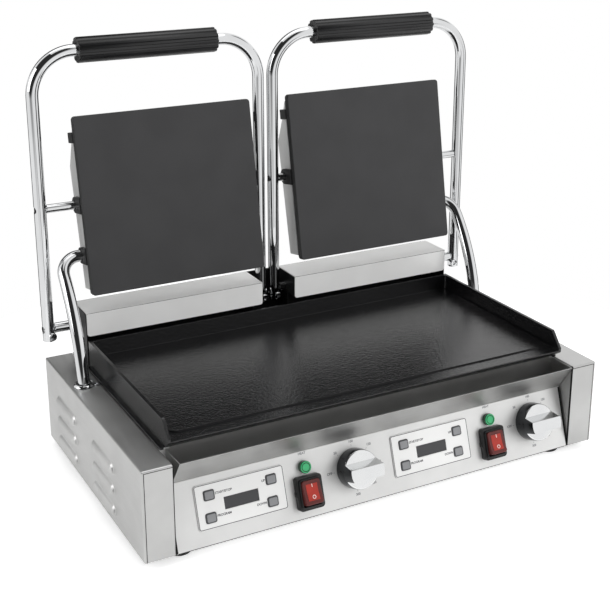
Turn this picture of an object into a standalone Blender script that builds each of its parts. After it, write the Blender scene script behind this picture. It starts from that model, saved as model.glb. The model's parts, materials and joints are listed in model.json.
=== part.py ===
"""Double contact grill with two lids, modelled as separate pieces.

Metres, +Z up, front towards -Y. The lids stand open: each handle frame is upright on its hinge shaft,
and its cast plate leans back on the pivot rod.
"""

import math

import bmesh
import bpy
from mathutils import Matrix, Vector

# General clearances and stock
PLAY = 0.0003
OVERRUN = 0.004
WELD = 0.00001
SHEET = 0.0012
CAST_LAP = 0.001

# Base
WIDTH = 0.570
DEPTH = 0.318
DECK_HEIGHT = 0.1022
SIDE_BOX_WIDTH = 0.0337
FOLD_RADIUS = 0.0015
SEAM_WIDTH = 0.0008
SEAM_DEPTH = 0.0006
SEAM_INSET = 0.0022
FOOT_HEIGHT = 0.010
FOOT_RADIUS = 0.015
FOOT_TAPER = 0.002
FOOT_INSET_X = 0.046
FOOT_INSET_Y = 0.024
PAN_FLANGE = 0.012
PAN_FRONT_FLANGE = 0.008
PAN_FRONT_INSET = 0.006
VENT_LENGTH = 0.050
VENT_WIDTH = 0.004
VENT_PITCH = 0.016
VENT_COUNT = 4
REAR_VENT_HEIGHT = 0.055
VENT_GROUP_X = 0.110

# Pressed louvres of the side boxes
LOUVRE_LENGTH = 0.0678
LOUVRE_HEIGHT = 0.0095
LOUVRE_BULGE = 0.0038
LOUVRE_ROWS = 3
LOUVRE_COLUMNS = 2
LOUVRE_TOP = 0.0708
LOUVRE_PITCH = 0.0246
LOUVRE_COLUMN_PITCH = 0.1252
LOUVRE_CENTRE_Y = 0.0202
LOUVRE_LIP = 0.0005

# Fascia, and the shelf and bulkhead behind it
FASCIA_HEIGHT = 0.0682
FASCIA_SETBACK = 0.0228
FASCIA_RETURN = 0.0050
BULKHEAD_FLANGE = 0.022

# Drip tray
TRAY_LEFT_GAP = 0.0070
TRAY_RIGHT_GAP = 0.0006
TRAY_DEPTH = 0.0382
TRAY_SHEET = 0.0010
TRAY_RIM = 0.1008
TRAY_BACK = 0.1036
TRAY_BACK_INSET = 0.0045
TRAY_BACK_CHAMFER = 0.0040

# Lower plate
PLATE_GAP = 0.0028
PLATE_WALL = 0.0035
PLATE_SKIRT = 0.0065
PLATE_BACK = 0.1020
PLATE_BASE = 0.1046
PLATE_RIM = 0.1370
PLATE_RIM_FRONT = 0.1245
PLATE_LIP = 0.1390
PLATE_LIP_TOP = 0.1190
PLATE_LIP_BOTTOM = 0.1140
PLATE_CHIN = 0.1260
PLATE_SURFACE = 0.1178
PLATE_CHANNEL = 0.1163
PLATE_CHANNEL_WIDTH = 0.0050
PLATE_CHANNEL_FRONT = 0.0180
PLATE_CEILING = 0.1108
PAD_CORNER = 0.012
LIP_ROUND = 0.0015
STUD_RADIUS = 0.006
STUD_INSET = 0.0585
STUD_FRONT_Y = 0.1080
STUD_BACK_Y = 0.0880
DECK_FRONT = 0.0780

# Heating elements
LOWER_ELEMENT_RADIUS = 0.0040
LOWER_ELEMENT_SINK = 0.0015
LOWER_ELEMENT_INSET = 0.0435
LOWER_ELEMENT_PASSES = 4
LOWER_ELEMENT_PITCH = 0.0480
UPPER_ELEMENT_RADIUS = 0.00325
UPPER_ELEMENT_SINK = 0.0010
UPPER_ELEMENT_Z = 0.0660
UPPER_ELEMENT_PASSES = 4
UPPER_ELEMENT_PITCH_SHARE = 0.4412
ELEMENT_TERMINAL = 0.0120

# Lid hinge: the shaft, and the handle frame that turns on it
HINGE_Y = 0.1380
HINGE_Z = 0.1462
SHAFT_RADIUS = 0.0060
SHAFT_SPIGOT = 0.0040
BAR_RADIUS = 0.0070
BAR_GAP = 0.0015
INNER_BAR_X = 0.0094
BAR_TAIL = 0.0140
BAR_END_SHARE = 0.2
FRAME_HEIGHT = 0.3208
FRAME_BEND = 0.0485
PIVOT_ARM = 0.1445
PIVOT_RADIUS = 0.0050
PIVOT_SPIGOT = 0.0030

# Grip
GRIP_MARGIN = 0.0111
GRIP_RADIUS = 0.01435
GRIP_FLUTE_DEPTH = 0.0013
GRIP_FLUTES = 12
GRIP_SHIFT = 0.0015

# Hinge cover, bracket, guard and spring
COVER_INNER_X = 0.0227
COVER_SETBACK = 0.0007
COVER_FRONT = 0.1050
COVER_BACK = 0.1510
COVER_BOTTOM = 0.1410
COVER_TOP = 0.1695
COVER_CORNER = 0.0030
BRACKET_SHEET = 0.0020
BRACKET_INSET = 0.0008
BRACKET_LEG_FRONT = 0.1280
GUARD_FRONT = 0.1538
GUARD_SHEET = 0.0015
SPRING_WIRE = 0.0015
SPRING_TURNS = 5
SPRING_PITCH = 0.0044
SPRING_CLEARANCE = 0.0006
SPRING_X = 0.0600
SPRING_LEG = 0.0105

# Upper plate, in a frame whose origin is the pivot: Z up the plate, Y away from its face
LID_TILT = math.radians(10.5)
LID_INNER_X = 0.0256
LID_CLEARANCE = 0.0018
LID_BOTTOM = 0.1030
LID_TOP = 0.1010
LID_FACE = 0.0280
LID_THICKNESS = 0.0170
LID_CORNER = 0.0040
LUG_RADIUS = 0.0095
LUG_REACH = 0.0010
CONDUIT_LUG_Y = -0.00096
CONDUIT_LUG_Z = -0.05845
STOP_LUG_Z = 0.0710
STOP_LUG_HEIGHT = 0.0120
STOP_LUG_BACK = 0.0040

# Cover behind the upper plate
BACK_SETBACK = 0.0038
BACK_INSET = 0.0040
BACK_BOTTOM_DEPTH = 0.0320
BACK_RIDGE_DEPTH = 0.0420
BACK_TOP_DEPTH = 0.0220
BACK_RIDGE_Z = 0.0450
BACK_CABLE_HOLE = 0.0050

# Conduit tube and its collar
TUBE_SHARE = 0.525
TUBE_RADIUS = 0.0070
TUBE_BEND = 0.0220
TUBE_LEAN_LOW = math.radians(8)
TUBE_LEAN_HIGH = math.radians(40)
TUBE_TAIL = 0.0030
COLLAR_BORE = 0.0092
COLLAR_RADIUS = 0.0110
COLLAR_HEIGHT = 0.0038
COLLAR_ROLL = 0.0012
COLLAR_HOLE = 0.0095

# Controls, placed along the fascia by shares of the width, and up its slope by distances
CONTROL_SHARES = {"left": -0.2939, "right": 0.1272}
PANEL_SHARE = 0.179
PANEL_HEIGHT = 0.0468
PANEL_MIDDLE = 0.0402
PANEL_THICKNESS = 0.0010
PANEL_CORNER = 0.0030
PANEL_SHIFT_SHARES = {"left": -0.0088, "right": -0.0168}
BUTTON_WIDTH = 0.0120
BUTTON_HEIGHT = 0.0105
BUTTON_CORNER = 0.0020
BUTTON_X_SHARES = {"start_stop": -0.345, "program": -0.355, "up": 0.350, "down": 0.338}
BUTTON_ROW_SHARES = {"start_stop": 0.240, "program": -0.260, "up": 0.240, "down": -0.260}
BUTTON_PROUD = 0.0010
BUTTON_DEPTH = 0.0040
DISPLAY_WIDTH = 0.0388
DISPLAY_HEIGHT = 0.0125
DISPLAY_RISE = -0.0010
DISPLAY_RECESS = 0.0004
BOARD_INSET = 0.0040
BOARD_LOWER = 0.0024
BOARD_THICKNESS = 0.0016
BOARD_DEPTH = 0.0062
POST_RADIUS = 0.0022
POST_INSET = 0.0030
LAMP_RADIUS = 0.0068
LAMP_PROUD = 0.0062
LAMP_BODY = 0.0050
LAMP_LENGTH = 0.0220
LAMP_EDGE = 0.0006
LAMP_SHARE = 0.1243
LAMP_SLOPE = 0.0553
SWITCH_SHARE = 0.1249
SWITCH_SLOPE = 0.0282
SWITCH_WIDTH = 0.0304
SWITCH_HEIGHT = 0.0365
SWITCH_CORNER = 0.0040
SWITCH_PROUD = 0.0095
SWITCH_BODY_WIDTH = 0.0250
SWITCH_BODY_HEIGHT = 0.0330
SWITCH_BODY_DEPTH = 0.0210
ROCKER_WIDTH = 0.0216
ROCKER_HALF = 0.0130
ROCKER_PIVOT = 0.0055
ROCKER_PROUD = 0.0085
ROCKER_DISH = 0.0012
ROCKER_ROOT = 0.0060
ROCKER_TILT = math.radians(10.5)
KNOB_SHARE = 0.2298
KNOB_SLOPE = 0.0400
KNOB_RADIUS = 0.0224
KNOB_TOP_RADIUS = 0.0205
KNOB_SKIRT = 0.0165
KNOB_TOP = 0.0310
KNOB_BAR_LOW = -0.0086
KNOB_BAR_HIGH = 0.0046
KNOB_ROOT_LOW = -0.0092
KNOB_ROOT_HIGH = 0.0090
KNOB_GAP = 0.0005
KNOB_BORE_DEPTH = 0.0120
SPINDLE_RADIUS = 0.0030
THERMOSTAT_SIZE = 0.0340
THERMOSTAT_DEPTH = 0.0200

# Cord inlet at the back
GLAND_INSET = 0.0750
GLAND_Z = 0.0250
GLAND_RADIUS = 0.0110
GLAND_FLANGE = 0.0030
GLAND_NECK = 0.0080
GLAND_NOSE = 0.0090
GLAND_REACH = 0.0140
GLAND_TAIL = 0.0120
GLAND_BORE = 0.0042

# Facets of round work
ROUND_STEPS = 16
FINE_STEPS = 28
CORNER_STEPS = 3
SHARP_EDGE = math.radians(35)

SIDES = {"left": -1, "right": 1}

# Places that follow from the sizes above
HALF_WIDTH = WIDTH / 2
HALF_DEPTH = DEPTH / 2
BAY_HALF = HALF_WIDTH - SIDE_BOX_WIDTH
PLATE_HALF_WIDTH = BAY_HALF - PLATE_GAP
STUD_X = PLATE_HALF_WIDTH - STUD_INSET
LOWER_ELEMENT_X = PLATE_HALF_WIDTH - LOWER_ELEMENT_INSET
COVER_OUTER_X = PLATE_HALF_WIDTH - COVER_SETBACK
LID_OUTER_X = PLATE_HALF_WIDTH - PLATE_WALL - LID_CLEARANCE
LID_X = (LID_OUTER_X + LID_INNER_X) / 2
LID_HALF_WIDTH = (LID_OUTER_X - LID_INNER_X) / 2
BACK_HALF_WIDTH = LID_HALF_WIDTH - BACK_SETBACK
UPPER_ELEMENT_PITCH = UPPER_ELEMENT_PITCH_SHARE * LID_HALF_WIDTH
TUBE_X = BAY_HALF + TUBE_SHARE * SIDE_BOX_WIDTH
OUTER_BAR_X = TUBE_X + TUBE_RADIUS + BAR_GAP + BAR_RADIUS
GRIP_LENGTH = OUTER_BAR_X - INNER_BAR_X - 2 * FRAME_BEND - GRIP_MARGIN
PANEL_WIDTH = PANEL_SHARE * WIDTH
GLAND_X = HALF_WIDTH - GLAND_INSET
FASCIA_LEAN = math.atan2(FASCIA_SETBACK, FASCIA_HEIGHT)
SHELF_FRONT = FASCIA_SETBACK - HALF_DEPTH
TRAY_BACK_Y = TRAY_DEPTH - HALF_DEPTH
LID_BACK = LID_THICKNESS - LID_FACE
GLAND_END = HALF_DEPTH + GLAND_REACH
KNOB_FRONT = (
    HALF_DEPTH
    - (KNOB_SLOPE + KNOB_BAR_LOW) * math.sin(FASCIA_LEAN)
    + KNOB_TOP * math.cos(FASCIA_LEAN)
)
FRAME_MIDDLE = (OUTER_BAR_X + INNER_BAR_X) / 2

# Outlines are drawn flat and then laid in a plane: these matrices carry (u, v, w) to the world's axes
ALONG_X = Matrix(((0, 0, 1, 0), (1, 0, 0, 0), (0, 1, 0, 0), (0, 0, 0, 1)))
ALONG_Y = Matrix(((1, 0, 0, 0), (0, 0, -1, 0), (0, 1, 0, 0), (0, 0, 0, 1)))
ALONG_Z = Matrix.Identity(4)

FINISHES = {
    "brushed_steel": ((0.62, 0.62, 0.61), 0.34, 1.0),
    "chrome": ((0.80, 0.80, 0.81), 0.08, 1.0),
    "cast_coated": ((0.055, 0.055, 0.057), 0.55, 0.0),
    "black_steel": ((0.035, 0.035, 0.036), 0.45, 0.0),
    "black_plastic": ((0.020, 0.020, 0.021), 0.40, 0.0),
    "rubber": ((0.025, 0.025, 0.025), 0.85, 0.0),
    "white_panel": ((0.78, 0.78, 0.77), 0.45, 0.0),
    "dark_window": ((0.030, 0.032, 0.036), 0.12, 0.0),
    "grey_button": ((0.34, 0.35, 0.36), 0.50, 0.0),
    "green_lens": ((0.05, 0.55, 0.22), 0.20, 0.0),
    "red_rocker": ((0.60, 0.06, 0.04), 0.25, 0.0),
    "spring_steel": ((0.30, 0.30, 0.32), 0.40, 1.0),
    "element_steel": ((0.25, 0.23, 0.22), 0.50, 1.0),
    "inner_body": ((0.12, 0.12, 0.13), 0.60, 0.0),
}


def clear_scene():
    for item in list(bpy.data.objects):
        bpy.data.objects.remove(item, do_unlink=True)


def new_collection(name):
    collection = bpy.data.collections.new(name)
    bpy.context.scene.collection.children.link(collection)
    return collection


def new_material(name, finish):
    colour, roughness, metallic = FINISHES[finish]
    material = bpy.data.materials.new(name)
    material.use_nodes = True
    shader = material.node_tree.nodes["Principled BSDF"]
    shader.inputs["Base Color"].default_value = (*colour, 1.0)
    shader.inputs["Roughness"].default_value = roughness
    shader.inputs["Metallic"].default_value = metallic
    return material


def new_empty(name, parent=None, at=(0, 0, 0), turn=(0, 0, 0)):
    empty = bpy.data.objects.new(name, None)
    parts.objects.link(empty)
    empty.parent = parent
    empty.location = at
    empty.rotation_euler = turn
    return empty


def add_part(name, data, finish, parent, at=(0, 0, 0), turn=(0, 0, 0)):
    """Make the named object of one piece, in its own material."""
    part = bpy.data.objects.new(name, data)
    parts.objects.link(part)
    data.materials.append(new_material(name, finish))
    part.parent = parent
    part.location = at
    part.rotation_euler = turn
    return part


def change(part, operation, name, mesh, parent=None, at=(0, 0, 0), turn=(0, 0, 0)):
    """Join a hidden shape to a piece, or cut it away."""
    tool = bpy.data.objects.new(part.name + "_" + name, mesh)
    cutters.objects.link(tool)
    tool.parent = parent or part.parent
    tool.location = at
    tool.rotation_euler = turn
    tool.hide_render = True
    tool.display_type = "WIRE"
    modifier = part.modifiers.new(name, "BOOLEAN")
    modifier.operation = operation
    modifier.solver = "EXACT"
    modifier.object = tool


def cut(part, name, mesh, **place):
    change(part, "DIFFERENCE", name, mesh, **place)


def fuse(part, name, mesh, **place):
    change(part, "UNION", name, mesh, **place)


def finished(shape, name):
    """Turn a bmesh into a mesh with its faces pointing out."""
    bmesh.ops.recalc_face_normals(shape, faces=shape.faces)
    mesh = bpy.data.meshes.new(name)
    shape.to_mesh(mesh)
    shape.free()
    return mesh


def box(low, high, name="box"):
    size = Vector(high) - Vector(low)
    middle = (Vector(high) + Vector(low)) / 2
    shape = bmesh.new()
    place = Matrix.Translation(middle) @ Matrix.Diagonal((*size, 1.0))
    bmesh.ops.create_cube(shape, size=1.0, matrix=place)
    return finished(shape, name)


def cylinder(radius, start, end, steps=ROUND_STEPS, name="cylinder"):
    """A cylinder between two points."""
    axis = Vector(end) - Vector(start)
    turn = axis.to_track_quat("Z", "Y").to_matrix().to_4x4()
    place = Matrix.Translation((Vector(start) + Vector(end)) / 2) @ turn
    shape = bmesh.new()
    bmesh.ops.create_cone(
        shape,
        cap_ends=True,
        segments=steps,
        radius1=radius,
        radius2=radius,
        depth=axis.length,
        matrix=place,
    )
    return finished(shape, name)


def joined(meshes, name="group"):
    """Several closed shapes in one mesh, for one cut or one union."""
    shape = bmesh.new()
    for mesh in meshes:
        shape.from_mesh(mesh)
    return finished(shape, name)


def mesh_from_curve(curve):
    """The closed mesh of a curve, with its caps welded on."""
    carrier = bpy.data.objects.new(curve.name, curve)
    cutters.objects.link(carrier)
    graph = bpy.context.evaluated_depsgraph_get()
    mesh = bpy.data.meshes.new_from_object(carrier.evaluated_get(graph))
    bpy.data.objects.remove(carrier, do_unlink=True)
    shape = bmesh.new()
    shape.from_mesh(mesh)
    bmesh.ops.remove_doubles(shape, verts=shape.verts, dist=WELD)
    return finished(shape, curve.name)


def outline(loops, low, high, plane=ALONG_Z, name="outline"):
    """Loops of (u, v) filled and given depth from low to high across their plane."""
    curve = bpy.data.curves.new(name, "CURVE")
    curve.dimensions = "2D"
    curve.fill_mode = "BOTH"
    curve.extrude = (high - low) / 2
    for loop in loops:
        spline = curve.splines.new("POLY")
        spline.points.add(len(loop) - 1)
        for point, (u, v) in zip(spline.points, loop):
            point.co = (u, v, 0, 1)
        spline.use_cyclic_u = True
    mesh = mesh_from_curve(curve)
    mesh.transform(plane @ Matrix.Translation((0, 0, (low + high) / 2)))
    return mesh


def filleted(points, radius, closed=False, steps=CORNER_STEPS):
    """Round the corners of a path with arcs; radius is one value, or one for each corner."""
    radii = radius if isinstance(radius, (list, tuple)) else [radius] * len(points)
    result = []
    for index, corner in enumerate(points):
        here = Vector(corner)
        ends = not closed and index in (0, len(points) - 1)
        if ends or radii[index] == 0:
            result.append(here)
            continue
        before = (Vector(points[index - 1]) - here).normalized()
        after = (Vector(points[(index + 1) % len(points)]) - here).normalized()
        half = before.angle(after) / 2
        sweep = math.pi - 2 * half
        reach = radii[index] / math.tan(half)
        centre = here + (before + after).normalized() * (radii[index] / math.sin(half))
        first = here + before * reach - centre
        last = here + after * reach - centre
        for step in range(steps + 1):
            share = step / steps
            spoke = first * math.sin((1 - share) * sweep) + last * math.sin(share * sweep)
            result.append(centre + spoke / math.sin(sweep))
    return result


def rectangle(low, high, radius=0, steps=CORNER_STEPS):
    corners = [(low[0], low[1]), (high[0], low[1]), (high[0], high[1]), (low[0], high[1])]
    return filleted(corners, radius, closed=True, steps=steps)


def circle(radius, centre=(0, 0), steps=ROUND_STEPS):
    turns = [2 * math.pi * step / steps for step in range(steps)]
    return [(centre[0] + radius * math.cos(turn), centre[1] + radius * math.sin(turn)) for turn in turns]


def folded(path, thickness):
    """The closed section of a sheet: one face follows the path, its thickness lies to the right."""
    points = [Vector(point) for point in path]
    sides = []
    for first, second in zip(points, points[1:]):
        along = (second - first).normalized()
        sides.append(Vector((along.y, -along.x)))
    inner = []
    for index, point in enumerate(points):
        before = sides[max(index - 1, 0)]
        after = sides[min(index, len(sides) - 1)]
        inner.append(point + (before + after) * (thickness / (1 + before.dot(after))))
    return points + inner[::-1]


def sheet(path, low, high, thickness=SHEET, plane=ALONG_X, name="sheet"):
    return outline([folded(path, thickness)], low, high, plane, name)


def tab(centre, radius, root, steps=CORNER_STEPS * 2):
    """A lug's outline in (u, v): a half round about the centre, carried straight back to its root."""
    u, v = centre
    turns = [math.pi * step / steps - math.pi / 2 for step in range(steps + 1)]
    arc = [(u + radius * math.cos(turn), v + radius * math.sin(turn)) for turn in turns]
    return [(root, v - radius)] + arc + [(root, v + radius)]


def tube(name, points, radius, resolution=2, shares=None):
    """A round bar or wire along a path; shares scale its radius at each point."""
    curve = bpy.data.curves.new(name, "CURVE")
    curve.dimensions = "3D"
    curve.bevel_depth = radius
    curve.bevel_resolution = resolution
    curve.use_fill_caps = True
    spline = curve.splines.new("POLY")
    spline.points.add(len(points) - 1)
    for index, place in enumerate(points):
        spline.points[index].co = (*place, 1)
        spline.points[index].radius = shares[index] if shares else 1
    return curve


def turned(name, profile, finish, parent, at=(0, 0, 0), turn=(0, 0, 0), steps=ROUND_STEPS, ring=False):
    """A profile of (radius, height) points, from top to bottom of its outer side, spun round Z."""
    mesh = bpy.data.meshes.new(name)
    edges = [(index, index + 1) for index in range(len(profile) - 1)]
    if ring:
        edges.append((len(profile) - 1, 0))
    mesh.from_pydata([(radius, 0, height) for radius, height in profile], edges, [])
    part = add_part(name, mesh, finish, parent, at, turn)
    screw = part.modifiers.new("turn", "SCREW")
    screw.steps = steps
    screw.render_steps = steps
    screw.use_merge_vertices = True
    screw.merge_threshold = WELD
    return part


def shade_round(part):
    """Shade a meshed round piece smooth, but keep its real edges."""
    part.data.shade_smooth()
    part.data.set_sharp_from_angle(angle=SHARP_EDGE)


def serpentine(passes, pitch, reach):
    """A flat path to and fro: straight passes of the given reach, joined by half turns beyond it."""
    steps = CORNER_STEPS + 2
    radius = pitch / 2
    points = []
    for index in range(passes):
        way = 1 if index % 2 == 0 else -1
        across = (index - (passes - 1) / 2) * pitch
        points.extend([(-way * reach, across), (way * reach, across)])
        if index == passes - 1:
            break
        for step in range(1, steps):
            turn = math.pi * step / steps
            out = way * (reach + radius * math.sin(turn))
            points.append((out, across + radius * (1 - math.cos(turn))))
    return points


# Base

def louvre_shape(length, height, bulge):
    """Half of a long pressed hood: round ends and top, flat below, its back in the wall's plane."""
    rings = 5
    shape = bmesh.new()
    bmesh.ops.create_uvsphere(shape, u_segments=12, v_segments=rings, radius=1.0)
    bmesh.ops.rotate(shape, verts=shape.verts, matrix=Matrix.Rotation(math.pi / 2, 3, "X"))
    widest = math.cos(math.pi / 2 / rings)
    stretch = Vector((bulge / widest, height, height / widest))
    bmesh.ops.scale(shape, verts=shape.verts, vec=stretch)
    for vertex in shape.verts:
        vertex.co.y += math.copysign(length / 2 - height, vertex.co.y)
    for normal in ((0, 0, -1), (-1, 0, 0)):
        everything = shape.verts[:] + shape.edges[:] + shape.faces[:]
        result = bmesh.ops.bisect_plane(
            shape, geom=everything, plane_co=(0, 0, 0), plane_no=normal, clear_outer=True, dist=WELD
        )
        rim = [item for item in result["geom_cut"] if isinstance(item, bmesh.types.BMEdge)]
        bmesh.ops.holes_fill(shape, edges=rim)
    return shape


def louvre(length, height, bulge, back, drop):
    """A hood pushed back into the wall and drawn down, so that it joins or cuts cleanly."""
    shape = louvre_shape(length, height, bulge)
    for vertex in shape.verts:
        if vertex.co.x < WELD:
            vertex.co.x -= back
        if vertex.co.z < WELD:
            vertex.co.z -= drop
    return finished(shape, "louvre")


def louvre_places(sign):
    for column in range(LOUVRE_COLUMNS):
        across = LOUVRE_CENTRE_Y + (column - (LOUVRE_COLUMNS - 1) / 2) * LOUVRE_COLUMN_PITCH
        for row in range(LOUVRE_ROWS):
            height = LOUVRE_TOP - LOUVRE_HEIGHT - row * LOUVRE_PITCH
            turn = Matrix.Rotation(0 if sign > 0 else math.pi, 4, "Z")
            yield Matrix.Translation((sign * HALF_WIDTH, across, height)) @ turn


def side_box(name, sign):
    """A folded box, open below, with pressed louvres outside and the conduit's hole in its top."""
    inner, outer = sorted((sign * BAY_HALF, sign * HALF_WIDTH))
    shape = bmesh.new()
    shape.from_mesh(box((inner, -HALF_DEPTH, 0), (outer, HALF_DEPTH, DECK_HEIGHT)))
    rounded = [edge for edge in shape.edges if any(vertex.co.z > 0 for vertex in edge.verts)]
    bmesh.ops.bevel(shape, geom=rounded, offset=FOLD_RADIUS, segments=2, profile=0.5, affect="EDGES")
    part = add_part(name, finished(shape, name), "brushed_steel", base)
    hollow_low = (inner + SHEET, SHEET - HALF_DEPTH, -OVERRUN)
    hollow = box(hollow_low, (outer - SHEET, HALF_DEPTH - SHEET, DECK_HEIGHT - SHEET))
    cut(part, "hollow", hollow)
    hoods = []
    slots = []
    for place in louvre_places(sign):
        hood = louvre(LOUVRE_LENGTH, LOUVRE_HEIGHT, LOUVRE_BULGE, SHEET / 2, 0)
        inside = (LOUVRE_LENGTH - 2 * SHEET, LOUVRE_HEIGHT - SHEET, LOUVRE_BULGE - SHEET)
        slot = louvre(*inside, SHEET + OVERRUN, LOUVRE_LIP)
        hood.transform(place)
        slot.transform(place)
        hoods.append(hood)
        slots.append(slot)
    fuse(part, "hoods", joined(hoods))
    cut(part, "slots", joined(slots))
    hole = cylinder(
        COLLAR_HOLE,
        (sign * TUBE_X, COLLAR_Y, DECK_HEIGHT - SHEET - OVERRUN),
        (sign * TUBE_X, COLLAR_Y, DECK_HEIGHT + OVERRUN),
    )
    cut(part, "conduit_hole", hole)
    edge = HALF_WIDTH - SEAM_INSET
    top = DECK_HEIGHT - SEAM_INSET
    seam_path = [(sign * edge, -OVERRUN), (sign * edge, top), (sign * (BAY_HALF - OVERRUN), top)]
    if sign > 0:
        seam_path = seam_path[::-1]
    seam = outline([folded(seam_path, SEAM_WIDTH)], HALF_DEPTH - SEAM_DEPTH, HALF_DEPTH + OVERRUN, ALONG_Y)
    cut(part, "seam", seam)
    return part


def vent_slots(low, high, across_low, across_high, plane):
    """Groups of plain slots, left and right, through a sheet."""
    slots = []
    for sign in SIDES.values():
        for index in range(VENT_COUNT):
            middle = sign * VENT_GROUP_X + (index - (VENT_COUNT - 1) / 2) * VENT_PITCH
            slot = rectangle((middle - VENT_WIDTH / 2, across_low), (middle + VENT_WIDTH / 2, across_high))
            slots.append(outline([slot], low, high, plane))
    return joined(slots)


def base_pan():
    front = PAN_FRONT_INSET - HALF_DEPTH
    back = HALF_DEPTH - SHEET - PLAY
    path = [(back, PAN_FLANGE), (back, 0), (front, 0), (front, PAN_FRONT_FLANGE)]
    reach = BAY_HALF - PLAY
    part = add_part("base_pan", sheet(path, -reach, reach), "brushed_steel", base)
    cut(part, "vents", vent_slots(-OVERRUN, SHEET + OVERRUN, -VENT_LENGTH / 2, VENT_LENGTH / 2, ALONG_Z))


def front_fascia():
    """The leaning control panel, folded back into a shelf, a bulkhead and a flange under the plate."""
    bulkhead = TRAY_BACK_Y + PLAY
    path = [
        (FASCIA_RETURN - HALF_DEPTH, 0),
        (-HALF_DEPTH, 0),
        (SHELF_FRONT, FASCIA_HEIGHT),
        (bulkhead, FASCIA_HEIGHT),
        (bulkhead, DECK_HEIGHT),
        (bulkhead + BULKHEAD_FLANGE, DECK_HEIGHT),
    ]
    reach = BAY_HALF - PLAY
    part = add_part("front_fascia", sheet(path, -reach, reach), "brushed_steel", base)
    holes = []
    for side in SIDES:
        low, high = -SHEET - OVERRUN, OVERRUN
        for button in BUTTON_X_SHARES:
            centre = button_place(side, button)
            half = Vector((BUTTON_WIDTH / 2 + PLAY, BUTTON_HEIGHT / 2 + PLAY))
            holes.append(outline([rectangle(Vector(centre) - half, Vector(centre) + half)], low, high))
        holes.append(outline([display_outline(side, PLAY)], low, high))
        lamp = (control_x(side, LAMP_SHARE), LAMP_SLOPE)
        holes.append(outline([circle(LAMP_BODY + PLAY, lamp)], low, high))
        switch = (control_x(side, SWITCH_SHARE), SWITCH_SLOPE)
        holes.append(outline([switch_body_outline(switch, PLAY)], low, high))
        knob = (control_x(side, KNOB_SHARE), KNOB_SLOPE)
        holes.append(outline([circle(SPINDLE_RADIUS + PLAY, knob)], low, high))
    cut(part, "control_holes", joined(holes), parent=fascia)


def rear_panel():
    """The back sheet, folded forward into the deck that the lower plate's studs stand on."""
    path = [(DECK_FRONT, DECK_HEIGHT), (HALF_DEPTH, DECK_HEIGHT), (HALF_DEPTH, 0)]
    reach = BAY_HALF - PLAY
    part = add_part("rear_panel", sheet(path, -reach, reach), "brushed_steel", base)
    low = REAR_VENT_HEIGHT - VENT_LENGTH / 2
    vents = vent_slots(-HALF_DEPTH - OVERRUN, OVERRUN + SHEET - HALF_DEPTH, low, low + VENT_LENGTH, ALONG_Y)
    cut(part, "vents", vents)
    inlet_start = (GLAND_X, HALF_DEPTH - SHEET - OVERRUN, GLAND_Z)
    inlet = cylinder(GLAND_NECK + PLAY, inlet_start, (GLAND_X, HALF_DEPTH + OVERRUN, GLAND_Z))
    cut(part, "inlet", inlet)


def cable_gland():
    """The cord's inlet: a flanged body held by its nut, with a clamping nose outside."""
    profile = [
        (GLAND_BORE, GLAND_REACH),
        (GLAND_NOSE - FOLD_RADIUS, GLAND_REACH),
        (GLAND_NOSE, GLAND_REACH - FOLD_RADIUS),
        (GLAND_NOSE, GLAND_FLANGE + PLAY),
        (GLAND_RADIUS, GLAND_FLANGE + PLAY),
        (GLAND_RADIUS, PLAY),
        (GLAND_NECK, PLAY),
        (GLAND_NECK, -GLAND_TAIL),
        (GLAND_BORE, -GLAND_TAIL),
    ]
    place = (GLAND_X, HALF_DEPTH, GLAND_Z)
    turned("cable_gland", profile, "black_plastic", base, place, (-math.pi / 2, 0, 0), ring=True)


def feet():
    for side, sign in SIDES.items():
        for end, way in {"front": -1, "rear": 1}.items():
            profile = [
                (0, -PLAY),
                (FOOT_RADIUS, -PLAY),
                (FOOT_RADIUS, -FOOT_TAPER),
                (FOOT_RADIUS - FOOT_TAPER, -FOOT_HEIGHT),
                (0, -FOOT_HEIGHT),
            ]
            place = (sign * (HALF_WIDTH - FOOT_INSET_X), way * (HALF_DEPTH - FOOT_INSET_Y), 0)
            turned(end + "_" + side + "_foot", profile, "rubber", base, place)


# Cooking surface

def lower_element_path():
    """Passes along the plate, with both ends turned down as terminals."""
    level = PLATE_CEILING - LOWER_ELEMENT_SINK
    flat = serpentine(LOWER_ELEMENT_PASSES, LOWER_ELEMENT_PITCH, LOWER_ELEMENT_X)
    points = [(u, v + LOWER_ELEMENT_MIDDLE, level) for u, v in flat]
    first = (*points[0][:2], level - ELEMENT_TERMINAL)
    last = (*points[-1][:2], level - ELEMENT_TERMINAL)
    return [first] + points + [last]


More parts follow.
